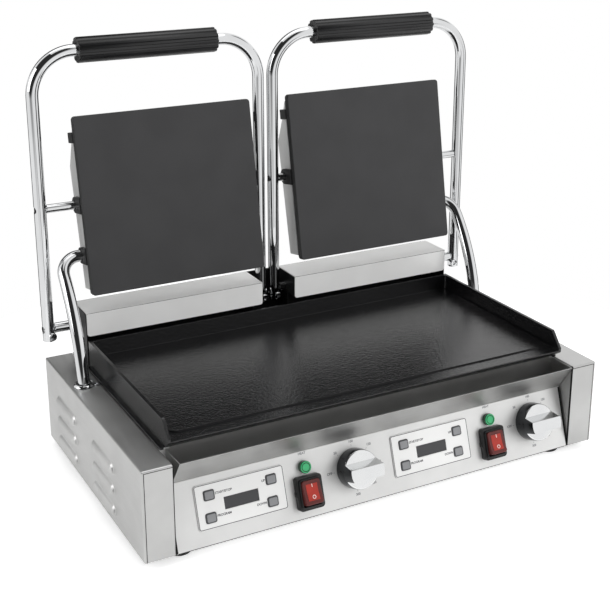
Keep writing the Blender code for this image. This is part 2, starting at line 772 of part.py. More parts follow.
def lower_plate():
    """The cast plate: walls on three sides, a raised surface, a lip over the tray and a hollow underside."""
    corners = [
        (PLATE_BACK, PLATE_BASE),
        (PLATE_BACK, PLATE_RIM),
        (-PLATE_RIM_FRONT, PLATE_RIM),
        (-PLATE_LIP, PLATE_LIP_TOP),
        (-PLATE_LIP, PLATE_LIP_BOTTOM),
        (-PLATE_CHIN, PLATE_BASE),
    ]
    section = filleted(corners, [0, 0, LIP_ROUND, LIP_ROUND, LIP_ROUND, 0], closed=True, steps=2)
    solid = outline([section], -PLATE_HALF_WIDTH, PLATE_HALF_WIDTH, ALONG_X)
    part = add_part("lower_plate", solid, "cast_coated", base)
    inner = PLATE_HALF_WIDTH - PLATE_WALL
    back = PLATE_BACK - PLATE_WALL
    cut(part, "tray", box((-inner, -PLATE_LIP - OVERRUN, PLATE_CHANNEL), (inner, back, PLATE_RIM + OVERRUN)))
    reach = inner - PLATE_CHANNEL_WIDTH
    corner = [PAD_CORNER, PAD_CORNER, 0, 0]
    pad = rectangle((-reach, PLATE_CHANNEL_FRONT - PLATE_LIP), (reach, back + CAST_LAP), corner)
    fuse(part, "surface", outline([pad], PLATE_CEILING + CAST_LAP, PLATE_SURFACE))
    skirt = PLATE_HALF_WIDTH - PLATE_SKIRT
    front = PLATE_SKIRT - PLATE_CHIN
    underside = box((-skirt, front, PLATE_BASE - OVERRUN), (skirt, PLATE_BACK - PLATE_SKIRT, PLATE_CEILING))
    cut(part, "underside", underside)
    studs = []
    for sign in SIDES.values():
        for y in (-STUD_FRONT_Y, STUD_BACK_Y):
            foot = (sign * STUD_X, y, DECK_HEIGHT + PLAY)
            studs.append(cylinder(STUD_RADIUS, foot, (sign * STUD_X, y, PLATE_CEILING + CAST_LAP)))
    fuse(part, "studs", joined(studs))
    groove = tube("lower_groove", lower_element_path(), LOWER_ELEMENT_RADIUS + PLAY)
    cut(part, "groove", mesh_from_curve(groove))


def lower_element():
    wire = tube("lower_element", lower_element_path(), LOWER_ELEMENT_RADIUS)
    add_part("lower_element", wire, "element_steel", base)


def drip_tray():
    """A folded tray with a leaning front; its back wall stands higher, with chamfered ends."""
    floor = FASCIA_HEIGHT + PLAY
    low, high = TRAY_LEFT_GAP - BAY_HALF, BAY_HALF - TRAY_RIGHT_GAP
    front_step = (TRAY_RIM - floor) * math.tan(TRAY_LEAN)
    outer = [
        (SHELF_FRONT, floor),
        (TRAY_BACK_Y, floor),
        (TRAY_BACK_Y, TRAY_RIM),
        (SHELF_FRONT - front_step, TRAY_RIM),
    ]
    slant = TRAY_SHEET / math.cos(TRAY_LEAN)
    rise = TRAY_RIM - floor + OVERRUN
    inner = [
        (SHELF_FRONT + slant - TRAY_SHEET * math.tan(TRAY_LEAN), floor + TRAY_SHEET),
        (TRAY_BACK_Y - TRAY_SHEET, floor + TRAY_SHEET),
        (TRAY_BACK_Y - TRAY_SHEET, floor + rise),
        (SHELF_FRONT + slant - rise * math.tan(TRAY_LEAN), floor + rise),
    ]
    part = add_part("drip_tray", outline([outer], low, high, ALONG_X), "brushed_steel", base)
    cut(part, "trough", outline([inner], low + TRAY_SHEET, high - TRAY_SHEET, ALONG_X))
    foot = TRAY_RIM - CAST_LAP
    inset = TRAY_BACK_INSET
    slope = inset + TRAY_BACK_CHAMFER
    strip = [
        (low + inset, foot),
        (high - inset, foot),
        (high - inset, TRAY_RIM),
        (high - slope, TRAY_BACK),
        (low + slope, TRAY_BACK),
        (low + inset, TRAY_RIM),
    ]
    fuse(part, "back_edge", outline([strip], -TRAY_BACK_Y, TRAY_SHEET - TRAY_BACK_Y, ALONG_Y))


# Hinges

def across_hole(radius, low, high):
    """A cutter on the hinge's axis."""
    return cylinder(radius, (low, HINGE_Y, HINGE_Z), (high, HINGE_Y, HINGE_Z))


def hinge_cover(side, sign):
    """A stainless hood over the shaft: top, front and outer end, open behind, below and at its inner end."""
    low, high = sorted((sign * COVER_INNER_X, sign * COVER_OUTER_X))
    corners = rectangle((low, COVER_BOTTOM), (high, COVER_TOP), [COVER_CORNER, COVER_CORNER, 0, 0])
    name = side + "_hinge_cover"
    part = add_part(name, outline([corners], -COVER_BACK, -COVER_FRONT, ALONG_Y), "brushed_steel", base)
    open_low = low + SHEET if sign < 0 else low - OVERRUN
    open_high = high - SHEET if sign > 0 else high + OVERRUN
    hollow_low = (open_low, COVER_FRONT + SHEET, COVER_BOTTOM - OVERRUN)
    hollow = box(hollow_low, (open_high, COVER_BACK + OVERRUN, COVER_TOP - SHEET))
    cut(part, "hollow", hollow)
    end = sign * COVER_OUTER_X
    hole = across_hole(SHAFT_RADIUS + PLAY, end - OVERRUN, end + OVERRUN)
    cut(part, "shaft_hole", hole)


def hinge_bracket(side, sign):
    """A black bracket: two cheeks that carry the shaft, joined by a web at the back."""
    inner = sign * (COVER_INNER_X + BRACKET_INSET)
    outer = sign * (COVER_OUTER_X - SHEET - PLAY)
    front = COVER_FRONT + SHEET + PLAY
    back = GUARD_FRONT - PLAY
    path = [(outer, front), (outer, back), (inner, back), (inner, front)]
    if sign > 0:
        path = path[::-1]
    top = COVER_TOP - SHEET - PLAY
    name = side + "_hinge_bracket"
    folds = sheet(path, DECK_HEIGHT + PLAY, top, BRACKET_SHEET, ALONG_Z)
    part = add_part(name, folds, "black_steel", base)
    low, high = sorted((inner - sign * OVERRUN, outer + sign * OVERRUN))
    relief_low = (low, front - OVERRUN, DECK_HEIGHT - OVERRUN)
    cut(part, "relief", box(relief_low, (high, BRACKET_LEG_FRONT, COVER_BOTTOM)))
    cut(part, "bore", across_hole(SHAFT_RADIUS + PLAY, low, high))


def rear_guard():
    """The black sheet behind both hinges, standing on the deck."""
    path = [(GUARD_FRONT, DECK_HEIGHT + PLAY), (GUARD_FRONT, COVER_TOP - SHEET - PLAY)]
    reach = COVER_OUTER_X - BRACKET_INSET
    add_part("rear_guard", sheet(path, -reach, reach, GUARD_SHEET), "black_steel", base)


def hinge_spring(side, sign):
    """A torsion spring round the shaft, with one leg back to the bracket's web and one to the front."""
    radius = SHAFT_RADIUS + SPRING_CLEARANCE + SPRING_WIRE
    steps = 8
    points = [(sign * SPRING_X, HINGE_Y - SPRING_LEG, HINGE_Z - radius)]
    for index in range(SPRING_TURNS * steps + steps // 2 + 1):
        turn = 2 * math.pi * index / steps - math.pi / 2
        x = sign * (SPRING_X + SPRING_PITCH * index / steps)
        points.append((x, HINGE_Y + radius * math.cos(turn), HINGE_Z + radius * math.sin(turn)))
    end = GUARD_FRONT - PLAY - BRACKET_SHEET - PLAY
    points.append((points[-1][0], end, HINGE_Z + radius))
    name = side + "_hinge_spring"
    add_part(name, tube(name, points, SPRING_WIRE, resolution=1), "spring_steel", base)


# Lids

def frame_path():
    """The handle frame's rod, from its outer tail over the top to its inner tail, ends rounded."""
    corners = [
        (OUTER_BAR_X, BAR_RADIUS - BAR_TAIL),
        (OUTER_BAR_X, FRAME_HEIGHT),
        (INNER_BAR_X, FRAME_HEIGHT),
        (INNER_BAR_X, BAR_RADIUS - BAR_TAIL),
    ]
    path = filleted(corners, FRAME_BEND, steps=CORNER_STEPS * 2)
    steps = 3
    turns = [math.pi / 2 * step / steps for step in range(steps, 0, -1)]
    drops = [BAR_RADIUS * math.sin(turn) for turn in turns]
    shares = [max(math.cos(turn), BAR_END_SHARE) for turn in turns]
    first = [(OUTER_BAR_X, path[0][1] - drop) for drop in drops]
    last = [(INNER_BAR_X, path[-1][1] - drop) for drop in drops[::-1]]
    points = first + [tuple(point) for point in path] + last
    return points, shares + [1] * len(path) + shares[::-1]


def handle_frame(side, sign, hinge):
    """The U-shaped rod, cross-drilled for the hinge shaft's and the pivot rod's spigots."""
    flat, shares = frame_path()
    points = [(sign * x, 0, z) for x, z in flat]
    name = side + "_handle_frame"
    rod = mesh_from_curve(tube(name, points, BAR_RADIUS, resolution=4, shares=shares))
    part = add_part(name, rod, "chrome", hinge)
    shade_round(part)
    holes = []
    for x in (OUTER_BAR_X, INNER_BAR_X):
        for height, radius in ((0, SHAFT_SPIGOT), (PIVOT_ARM, PIVOT_SPIGOT)):
            reach = BAR_RADIUS + OVERRUN
            start, end = sorted((sign * (x - reach), sign * (x + reach)))
            holes.append(cylinder(radius + PLAY, (start, 0, height), (end, 0, height)))
    cut(part, "cross_holes", joined(holes), parent=hinge)


def stepped_rod(name, sign, radius, spigot, finish, parent, at=(0, 0, 0)):
    """A rod between the two bars of a frame, with a thinner spigot through each bar."""
    low = INNER_BAR_X - BAR_RADIUS + PLAY
    high = OUTER_BAR_X + BAR_RADIUS - PLAY
    profile = [
        (0, high),
        (spigot, high),
        (spigot, OUTER_BAR_X - BAR_RADIUS - PLAY),
        (radius, OUTER_BAR_X - BAR_RADIUS - PLAY),
        (radius, INNER_BAR_X + BAR_RADIUS + PLAY),
        (spigot, INNER_BAR_X + BAR_RADIUS + PLAY),
        (spigot, low),
        (0, low),
    ]
    turned(name, profile, finish, parent, at, (0, sign * math.pi / 2, 0))


def handle_grip(side, sign, hinge):
    """The black grip: flutes all round, and a bore for the rod."""
    steps = 4
    count = GRIP_FLUTES * steps
    ring = []
    for index in range(count):
        turn = 2 * math.pi * index / count
        radius = GRIP_RADIUS - (0 if index % steps in (0, 1) else GRIP_FLUTE_DEPTH)
        ring.append((radius * math.cos(turn), FRAME_HEIGHT + radius * math.sin(turn)))
    bore = circle(BAR_RADIUS + PLAY, (0, FRAME_HEIGHT), steps=12)
    middle = sign * (FRAME_MIDDLE + GRIP_SHIFT)
    name = side + "_handle_grip"
    solid = outline([ring, bore], middle - GRIP_LENGTH / 2, middle + GRIP_LENGTH / 2, ALONG_X)
    add_part(name, solid, "black_plastic", hinge)


def upper_element_path():
    """Passes up and down the plate's back, with both ends turned away from it as terminals."""
    depth = LID_BACK - UPPER_ELEMENT_SINK
    flat = serpentine(UPPER_ELEMENT_PASSES, UPPER_ELEMENT_PITCH, UPPER_ELEMENT_Z)
    points = [(v, depth, u) for u, v in flat]
    first = (points[0][0], depth + ELEMENT_TERMINAL, points[0][2])
    last = (points[-1][0], depth + ELEMENT_TERMINAL, points[-1][2])
    return [first] + points + [last]


def upper_plate(side, sign, lid):
    """The cast plate with its pivot bosses, conduit lug and stop lugs, and a groove for the element."""
    name = side + "_upper_plate"
    face = rectangle((-LID_HALF_WIDTH, -LID_BOTTOM), (LID_HALF_WIDTH, LID_TOP), LID_CORNER)
    part = add_part(name, outline([face], -LID_BACK, LID_FACE, ALONG_Y), "cast_coated", lid)
    lugs = []
    bores = []
    root = LID_BACK - CAST_LAP
    for way in (-1, 1):
        low, high = sorted((way * (BACK_HALF_WIDTH + PLAY), way * (LID_HALF_WIDTH + LUG_REACH)))
        lugs.append(outline([tab((0, 0), LUG_RADIUS, root)], low, high, ALONG_X))
        stop_top = STOP_LUG_Z + STOP_LUG_HEIGHT
        stop = rectangle((root, STOP_LUG_Z), (-STOP_LUG_BACK, stop_top))
        lugs.append(outline([stop], low, high, ALONG_X))
        bores.append(cylinder(PIVOT_RADIUS + PLAY, (low - OVERRUN, 0, 0), (high + OVERRUN, 0, 0)))
        if way == sign:
            centre = (CONDUIT_LUG_Y, CONDUIT_LUG_Z)
            lugs.append(outline([tab(centre, LUG_RADIUS, root)], low, high, ALONG_X))
            bores.append(cylinder(TUBE_RADIUS + PLAY, (low - OVERRUN, *centre), (high + OVERRUN, *centre)))
    fuse(part, "lugs", joined(lugs))
    cut(part, "bores", joined(bores))
    groove = tube(name + "_groove", upper_element_path(), UPPER_ELEMENT_RADIUS + PLAY)
    cut(part, "groove", mesh_from_curve(groove))


def upper_element(side, lid):
    name = side + "_upper_element"
    add_part(name, tube(name, upper_element_path(), UPPER_ELEMENT_RADIUS), "element_steel", lid)


def upper_cover(side, sign, lid):
    """The faceted stainless cover: a ridge across its upper half, open towards the plate."""
    foot = LID_BACK + PLAY
    low_z, high_z = BACK_INSET - LID_BOTTOM, LID_TOP - BACK_INSET
    bottom = BACK_BOTTOM_DEPTH - LID_FACE
    ridge = BACK_RIDGE_DEPTH - LID_FACE
    top = BACK_TOP_DEPTH - LID_FACE
    outer = [(foot, low_z), (bottom, low_z), (ridge, BACK_RIDGE_Z), (top, high_z), (foot, high_z)]
    name = side + "_upper_cover"
    solid = outline([outer], -BACK_HALF_WIDTH, BACK_HALF_WIDTH, ALONG_X)
    part = add_part(name, solid, "brushed_steel", lid)
    mouth = foot - OVERRUN
    inner = [
        (mouth, low_z + SHEET),
        (bottom - SHEET, low_z + SHEET),
        (ridge - SHEET, BACK_RIDGE_Z),
        (top - SHEET, high_z - SHEET),
        (mouth, high_z - SHEET),
    ]
    reach = BACK_HALF_WIDTH - SHEET
    cut(part, "hollow", outline([inner], -reach, reach, ALONG_X))
    span = BACK_HALF_WIDTH + OVERRUN
    cut(part, "rod_slots", outline([tab((0, 0), PIVOT_RADIUS + PLAY, mouth)], -span, span, ALONG_X))
    wall = sign * BACK_HALF_WIDTH
    centre = (CONDUIT_LUG_Y, CONDUIT_LUG_Z)
    hole = cylinder(BACK_CABLE_HOLE, (wall - OVERRUN, *centre), (wall + OVERRUN, *centre))
    cut(part, "cable_hole", hole)


def conduit_tube(side, sign, swivel):
    """The chrome tube: a long forward sweep from the collar, then a bend inwards to the plate's lug."""
    points = []
    low = math.asin(math.sin(TUBE_LEAN_LOW) - TUBE_TAIL / TUBE_SWEEP)
    steps = 6
    for index in range(steps + 1):
        lean = low + (TUBE_LEAN_HIGH - low) * index / steps
        y = COLLAR_Y + TUBE_SWEEP * (math.cos(TUBE_LEAN_LOW) - math.cos(lean))
        z = DECK_HEIGHT + TUBE_SWEEP * (math.sin(lean) - math.sin(TUBE_LEAN_LOW))
        points.append(Vector((sign * TUBE_X, y, z)))
    bend_start = points[-1]
    along = Vector((0, math.sin(TUBE_LEAN_HIGH), math.cos(TUBE_LEAN_HIGH)))
    inward = Vector((-sign, 0, 0))
    for index in range(1, steps + 1):
        turn = math.pi / 2 * index / steps
        points.append(bend_start + (along * math.sin(turn) + inward * (1 - math.cos(turn))) * TUBE_BEND)
    points.append(Vector((sign * (LID_X + BACK_HALF_WIDTH + PLAY), points[-1].y, points[-1].z)))
    origin = Vector((0, LUG_Y, LUG_Z))
    name = side + "_conduit_tube"
    rod = tube(name, [point - origin for point in points], TUBE_RADIUS, resolution=4)
    add_part(name, rod, "chrome", swivel)


def conduit_collar(side, sign):
    """A flared ring on the deck round the conduit."""
    low = PLAY
    profile = [
        (COLLAR_BORE, COLLAR_HEIGHT),
        (COLLAR_BORE + COLLAR_ROLL, COLLAR_HEIGHT),
        (COLLAR_RADIUS, COLLAR_HEIGHT - COLLAR_ROLL),
        (COLLAR_RADIUS, low),
        (COLLAR_BORE, low),
    ]
    place = (sign * TUBE_X, COLLAR_Y, DECK_HEIGHT)
    turned(side + "_conduit_collar", profile, "chrome", base, place, ring=True)


# Controls on the fascia: outlines are in its own frame, x along it, y up its slope, z out of it

def control_x(side, share=0):
    return (CONTROL_SHARES[side] + share) * WIDTH


def panel_x(side):
    return control_x(side, PANEL_SHIFT_SHARES[side])


def button_place(side, button):
    x = panel_x(side) + BUTTON_X_SHARES[button] * PANEL_WIDTH
    return x, PANEL_MIDDLE + BUTTON_ROW_SHARES[button] * PANEL_HEIGHT


def button_outline(centre, margin=0):
    half_width = BUTTON_WIDTH / 2 + margin
    half_height = BUTTON_HEIGHT / 2 + margin
    low = (centre[0] - half_width, centre[1] - half_height)
    high = (centre[0] + half_width, centre[1] + half_height)
    return rectangle(low, high, BUTTON_CORNER, steps=2)


def display_outline(side, margin=0):
    x = panel_x(side)
    y = PANEL_MIDDLE + DISPLAY_RISE
    half_width = DISPLAY_WIDTH / 2 + margin
    half_height = DISPLAY_HEIGHT / 2 + margin
    return rectangle((x - half_width, y - half_height), (x + half_width, y + half_height))


def switch_body_outline(centre, margin=0):
    low = (centre[0] - SWITCH_BODY_WIDTH / 2 - margin, centre[1] - SWITCH_BODY_HEIGHT / 2 - margin)
    high = (centre[0] + SWITCH_BODY_WIDTH / 2 + margin, centre[1] + SWITCH_BODY_HEIGHT / 2 + margin)
    return rectangle(low, high)


def timer(side):
    """The overlay panel, the display on its board, and the four buttons between them."""
    middle = panel_x(side)
    low = (middle - PANEL_WIDTH / 2, PANEL_MIDDLE - PANEL_HEIGHT / 2)
    high = (middle + PANEL_WIDTH / 2, PANEL_MIDDLE + PANEL_HEIGHT / 2)
    loops = [rectangle(low, high, PANEL_CORNER), display_outline(side, PLAY)]
    for button in BUTTON_X_SHARES:
        loops.append(button_outline(button_place(side, button), PLAY))
    face = PLAY + PANEL_THICKNESS
    add_part(side + "_timer_panel", outline(loops, PLAY, face), "white_panel", fascia)

    board_low = (low[0] + BOARD_INSET, low[1] + BOARD_LOWER)
    board_high = (high[0] - BOARD_INSET, high[1] - BOARD_LOWER)
    board = outline([rectangle(board_low, board_high)], -BOARD_DEPTH - BOARD_THICKNESS, -BOARD_DEPTH)
    display = add_part(side + "_timer_display", board, "dark_window", fascia)
    block = outline([display_outline(side)], -BOARD_DEPTH - BOARD_THICKNESS / 2, face - DISPLAY_RECESS)
    fuse(display, "window", block)
    posts = []
    for x in (board_low[0] + POST_INSET, board_high[0] - POST_INSET):
        for y in (board_low[1] + POST_INSET, board_high[1] - POST_INSET):
            post = circle(POST_RADIUS, (x, y), steps=8)
            posts.append(outline([post], -BOARD_DEPTH - BOARD_THICKNESS / 2, -SHEET - PLAY))
    fuse(display, "posts", joined(posts))

    for button in BUTTON_X_SHARES:
        x, y = button_place(side, button)
        solid = outline([button_outline((0, 0))], -BUTTON_DEPTH, face + BUTTON_PROUD)
        add_part(side + "_" + button + "_button", solid, "grey_button", fascia, (x, y, 0))


def heat_lamp(side):
    """A flat-topped lens with a rounded edge, on a body through the fascia."""
    profile = [
        (0, LAMP_PROUD),
        (LAMP_RADIUS - LAMP_EDGE, LAMP_PROUD),
        (LAMP_RADIUS, LAMP_PROUD - LAMP_EDGE),
        (LAMP_RADIUS, PLAY),
        (LAMP_BODY, PLAY),
        (LAMP_BODY, -LAMP_LENGTH),
        (0, -LAMP_LENGTH),
    ]
    place = (control_x(side, LAMP_SHARE), LAMP_SLOPE, 0)
    turned(side + "_heat_lamp", profile, "green_lens", fascia, place)


def rocker_switch(side):
    """The switch's housing, snapped through the fascia, and the rocker in its well."""
    centre = (control_x(side, SWITCH_SHARE), SWITCH_SLOPE)
    low = (centre[0] - SWITCH_WIDTH / 2, centre[1] - SWITCH_HEIGHT / 2)
    high = (centre[0] + SWITCH_WIDTH / 2, centre[1] + SWITCH_HEIGHT / 2)
    frame = outline([rectangle(low, high, SWITCH_CORNER)], PLAY, SWITCH_PROUD)
    bezel = add_part(side + "_switch_bezel", frame, "black_plastic", fascia)
    body = outline([switch_body_outline(centre)], -SWITCH_BODY_DEPTH, PLAY + CAST_LAP)
    fuse(bezel, "body", body)
    half_width = ROCKER_WIDTH / 2 + PLAY
    half_height = ROCKER_SWING + PLAY
    well_low = (centre[0] - half_width, centre[1] - half_height)
    well_high = (centre[0] + half_width, centre[1] + half_height)
    floor = ROCKER_PIVOT - ROCKER_REACH - PLAY
    well = outline([rectangle(well_low, well_high)], floor, SWITCH_PROUD + OVERRUN)
    cut(bezel, "well", well)

    section = [
        (-ROCKER_HALF, ROCKER_PROUD),
        (-ROCKER_HALF, 0),
        (-ROCKER_ROOT, -ROCKER_ROOT),
        (ROCKER_ROOT, -ROCKER_ROOT),
        (ROCKER_HALF, 0),
        (ROCKER_HALF, ROCKER_PROUD),
        (0, ROCKER_PROUD - ROCKER_DISH),
    ]
    rocker = outline([section], -ROCKER_WIDTH / 2, ROCKER_WIDTH / 2, ALONG_X)
    pivot = new_empty(side + "_rocker_pivot", fascia, (*centre, ROCKER_PIVOT), (-ROCKER_TILT, 0, 0))
    add_part(side + "_switch_rocker", rocker, "red_rocker", pivot)


def thermostat(side):
    """The thermostat behind the fascia with its spindle, and the knob on it: a skirt with a bar, whose
    upper flank slopes more than its lower one."""
    x = control_x(side, KNOB_SHARE)
    half = THERMOSTAT_SIZE / 2
    top = -SHEET - PLAY
    body = outline([rectangle((-half, -half), (half, half), PANEL_CORNER)], top - THERMOSTAT_DEPTH, top)
    part = add_part(side + "_thermostat_body", body, "inner_body", fascia, (x, KNOB_SLOPE, 0))
    tip = KNOB_GAP + KNOB_BORE_DEPTH - PLAY
    spindle = cylinder(SPINDLE_RADIUS, (0, 0, top - CAST_LAP), (0, 0, tip))
    fuse(part, "spindle", spindle, parent=fascia, at=(x, KNOB_SLOPE, 0))

    axle = new_empty(side + "_knob_axle", fascia, (x, KNOB_SLOPE, 0))
    profile = [(0, KNOB_TOP), (KNOB_TOP_RADIUS, KNOB_TOP), (KNOB_RADIUS, KNOB_GAP), (0, KNOB_GAP)]
    knob = turned(side + "_thermostat_knob", profile, "chrome", axle, steps=FINE_STEPS)
    span = KNOB_RADIUS + OVERRUN
    flanks = []
    for way, edge, root in ((-1, KNOB_BAR_LOW, KNOB_ROOT_LOW), (1, KNOB_BAR_HIGH, KNOB_ROOT_HIGH)):
        flank = [
            (edge, KNOB_TOP),
            (root, KNOB_SKIRT),
            (way * span, KNOB_SKIRT),
            (way * span, KNOB_TOP + OVERRUN),
            (edge, KNOB_TOP + OVERRUN),
        ]
        flanks.append(outline([flank], -span, span, ALONG_X))
    cut(knob, "flanks", joined(flanks))
    bore = cylinder(SPINDLE_RADIUS + PLAY, (0, 0, KNOB_GAP - OVERRUN), (0, 0, KNOB_GAP + KNOB_BORE_DEPTH))
    cut(knob, "bore", bore)


# Places that follow from several pieces
TRAY_LEAN = math.atan2(HALF_DEPTH + SHELF_FRONT, TRAY_RIM - FASCIA_HEIGHT - PLAY)
LOWER_ELEMENT_MIDDLE = (PLATE_BACK - PLATE_CHIN) / 2
ROCKER_SWING = ROCKER_HALF / math.cos(ROCKER_TILT) + (SWITCH_PROUD - ROCKER_PIVOT) * math.tan(ROCKER_TILT)
ROCKER_REACH = math.hypot(ROCKER_ROOT, ROCKER_ROOT)
PIVOT_Z = HINGE_Z + PIVOT_ARM
LUG_Y = HINGE_Y + CONDUIT_LUG_Y * math.cos(LID_TILT) - CONDUIT_LUG_Z * math.sin(-LID_TILT)
LUG_Z = PIVOT_Z + CONDUIT_LUG_Y * math.sin(-LID_TILT) + CONDUIT_LUG_Z * math.cos(LID_TILT)
TUBE_SWEEP = (LUG_Z - DECK_HEIGHT - TUBE_BEND * math.cos(TUBE_LEAN_HIGH)) / (
    math.sin(TUBE_LEAN_HIGH) - math.sin(TUBE_LEAN_LOW)
)
COLLAR_Y = (
    LUG_Y
    - TUBE_SWEEP * (math.cos(TUBE_LEAN_LOW) - math.cos(TUBE_LEAN_HIGH))
    - TUBE_BEND * math.sin(TUBE_LEAN_HIGH)
)

clear_scene()
parts = new_collection("contact_grill")
cutters = new_collection("cutters")
base = new_empty("grill", None, (0, (KNOB_FRONT - GLAND_END) / 2, FOOT_HEIGHT))
fascia = new_empty("fascia_face", base, (0, -HALF_DEPTH, 0), (math.pi / 2 - FASCIA_LEAN, 0, 0))

for side, sign in SIDES.items():
    side_box(side + "_side_box", sign)
base_pan()
front_fascia()
rear_panel()
cable_gland()
feet()
lower_plate()
lower_element()
drip_tray()
rear_guard()

for side, sign in SIDES.items():
    hinge_cover(side, sign)
    hinge_bracket(side, sign)
    hinge_spring(side, sign)
    conduit_collar(side, sign)
    hinge = new_empty(side + "_hinge", base, (0, HINGE_Y, HINGE_Z))
    handle_frame(side, sign, hinge)
    handle_grip(side, sign, hinge)
    stepped_rod(side + "_hinge_shaft", sign, SHAFT_RADIUS, SHAFT_SPIGOT, "chrome", hinge)
    stepped_rod(side + "_pivot_rod", sign, PIVOT_RADIUS, PIVOT_SPIGOT, "chrome", hinge, (0, 0, PIVOT_ARM))
    lid = new_empty(side + "_lid", hinge, (sign * LID_X, 0, PIVOT_ARM), (-LID_TILT, 0, 0))
    upper_plate(side, sign, lid)
    upper_cover(side, sign, lid)
    upper_element(side, lid)
    swivel = new_empty(side + "_conduit_swivel", base, (0, LUG_Y, LUG_Z))
    conduit_tube(side, sign, swivel)
    timer(side)
    heat_lamp(side)
    rocker_switch(side)
    thermostat(side)
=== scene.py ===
# Double contact grill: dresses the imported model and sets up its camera, floor and studio light.
# Lengths are in metres, front towards -Y.

import json
import math

import bmesh
import bpy
from mathutils import Matrix, Vector


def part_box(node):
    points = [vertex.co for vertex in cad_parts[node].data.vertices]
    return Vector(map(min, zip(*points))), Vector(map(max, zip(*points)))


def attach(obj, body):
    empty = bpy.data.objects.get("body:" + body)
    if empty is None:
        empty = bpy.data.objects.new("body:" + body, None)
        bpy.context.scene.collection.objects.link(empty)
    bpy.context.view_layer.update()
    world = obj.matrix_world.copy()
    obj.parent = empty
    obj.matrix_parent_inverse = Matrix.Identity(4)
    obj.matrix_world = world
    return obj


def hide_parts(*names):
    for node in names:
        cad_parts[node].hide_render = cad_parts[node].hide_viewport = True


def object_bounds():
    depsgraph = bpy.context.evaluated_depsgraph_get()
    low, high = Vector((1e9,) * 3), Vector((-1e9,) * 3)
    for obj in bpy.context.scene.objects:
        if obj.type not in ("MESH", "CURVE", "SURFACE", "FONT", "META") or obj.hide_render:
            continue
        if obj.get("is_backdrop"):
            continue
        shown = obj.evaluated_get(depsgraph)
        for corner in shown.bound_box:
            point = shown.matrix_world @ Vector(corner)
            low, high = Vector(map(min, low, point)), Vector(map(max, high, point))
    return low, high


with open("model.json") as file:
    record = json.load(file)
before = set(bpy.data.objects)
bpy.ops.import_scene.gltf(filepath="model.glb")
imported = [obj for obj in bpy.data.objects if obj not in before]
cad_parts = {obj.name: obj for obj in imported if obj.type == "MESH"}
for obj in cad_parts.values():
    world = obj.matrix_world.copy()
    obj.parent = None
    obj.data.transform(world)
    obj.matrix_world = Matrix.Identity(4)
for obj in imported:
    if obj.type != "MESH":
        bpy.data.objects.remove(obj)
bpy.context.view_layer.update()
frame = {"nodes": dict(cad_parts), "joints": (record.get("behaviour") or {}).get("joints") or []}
nodes = frame["nodes"]
joints = {joint["name"]: joint for joint in frame["joints"]}
sides = {"left": -1, "right": 1}
gap = 0.0003   # between pieces that touch
print("frame loaded:", len(nodes), "nodes")


# small helpers

def linear(hexColour):
    values = [int(hexColour[index:index + 2], 16) / 255 for index in (1, 3, 5)]
    lit = [value / 12.92 if value <= 0.04045 else ((value + 0.055) / 1.055) ** 2.4 for value in values]
    return (*lit, 1.0)


def feed(node, inputs):
    # an input gets a plain value, a link from a socket, or a link from another node's first output
    for key, value in inputs.items():
        if isinstance(value, bpy.types.Node):
            value = value.outputs[0]
        if isinstance(value, bpy.types.NodeSocket):
            node.id_data.links.new(value, node.inputs[key])
        else:
            node.inputs[key].default_value = value


def addNode(tree, kind, inputs=None, **settings):
    node = tree.nodes.new(kind)
    for key, value in settings.items():
        setattr(node, key, value)
    feed(node, inputs or {})
    return node


def patterned(name, first, second, metallic, rough, cell, relief, patch=0.045, coat=0.0, glow=0.0,
              specular=0.5):
    # a procedural finish in object space: a fine grain, whose cell is one size or one for each axis, sets
    # roughness and relief, and wide patches drift between two close colours
    material = bpy.data.materials.new(name)
    material.use_nodes = True
    tree = material.node_tree
    cell = cell if isinstance(cell, tuple) else (cell,) * 3
    place = addNode(tree, "ShaderNodeTexCoord").outputs["Object"]
    scaled = addNode(tree, "ShaderNodeMapping", {"Vector": place, "Scale": [1 / size for size in cell]})
    grain = addNode(tree, "ShaderNodeTexNoise", {"Vector": scaled, "Scale": 1.0, "Detail": 3.0})
    drift = addNode(tree, "ShaderNodeTexNoise", {"Vector": place, "Scale": 1 / patch, "Detail": 2.0})
    blend = addNode(tree, "ShaderNodeMapRange", {"Value": drift, "From Min": 0.35, "From Max": 0.65})
    colour = addNode(tree, "ShaderNodeMix", {"Factor": blend}, data_type="RGBA", clamp_factor=True)
    for socket, tone in zip([one for one in colour.inputs if one.type == "RGBA"], (first, second)):
        socket.default_value = linear(tone)
    mixed = [one for one in colour.outputs if one.type == "RGBA"][0]
    gloss = addNode(tree, "ShaderNodeMapRange", {"Value": grain, "From Min": 0.3, "From Max": 0.7,
                                                 "To Min": rough[0], "To Max": rough[1]})
    bump = addNode(tree, "ShaderNodeBump", {"Height": grain, "Distance": min(cell) / 4, "Strength": relief})
    feed(tree.nodes["Principled BSDF"], {
        "Base Color": mixed, "Roughness": gloss, "Normal": bump, "Metallic": metallic, "Coat Weight": coat,
        "Specular IOR Level": specular, "Emission Color": linear(first), "Emission Strength": glow})
    return material


# materials

# 304 stainless sheet, ground with a 240 grit belt, so its shine is stretched along the lines. The real lines
# lie 0.1 mm apart; here 0.8 mm, so that they show.
alongX, alongY = (0.060, 0.0008, 0.0008), (0.0008, 0.060, 0.0008)
steelX = patterned("stainlessGroundAlongX", "#CBCBCA", "#C4C4C3", 1.0, (0.36, 0.46), alongX, 0.15)
steelY = patterned("stainlessGroundAlongY", "#C9C9C8", "#C2C2C1", 1.0, (0.36, 0.46), alongY, 0.15)
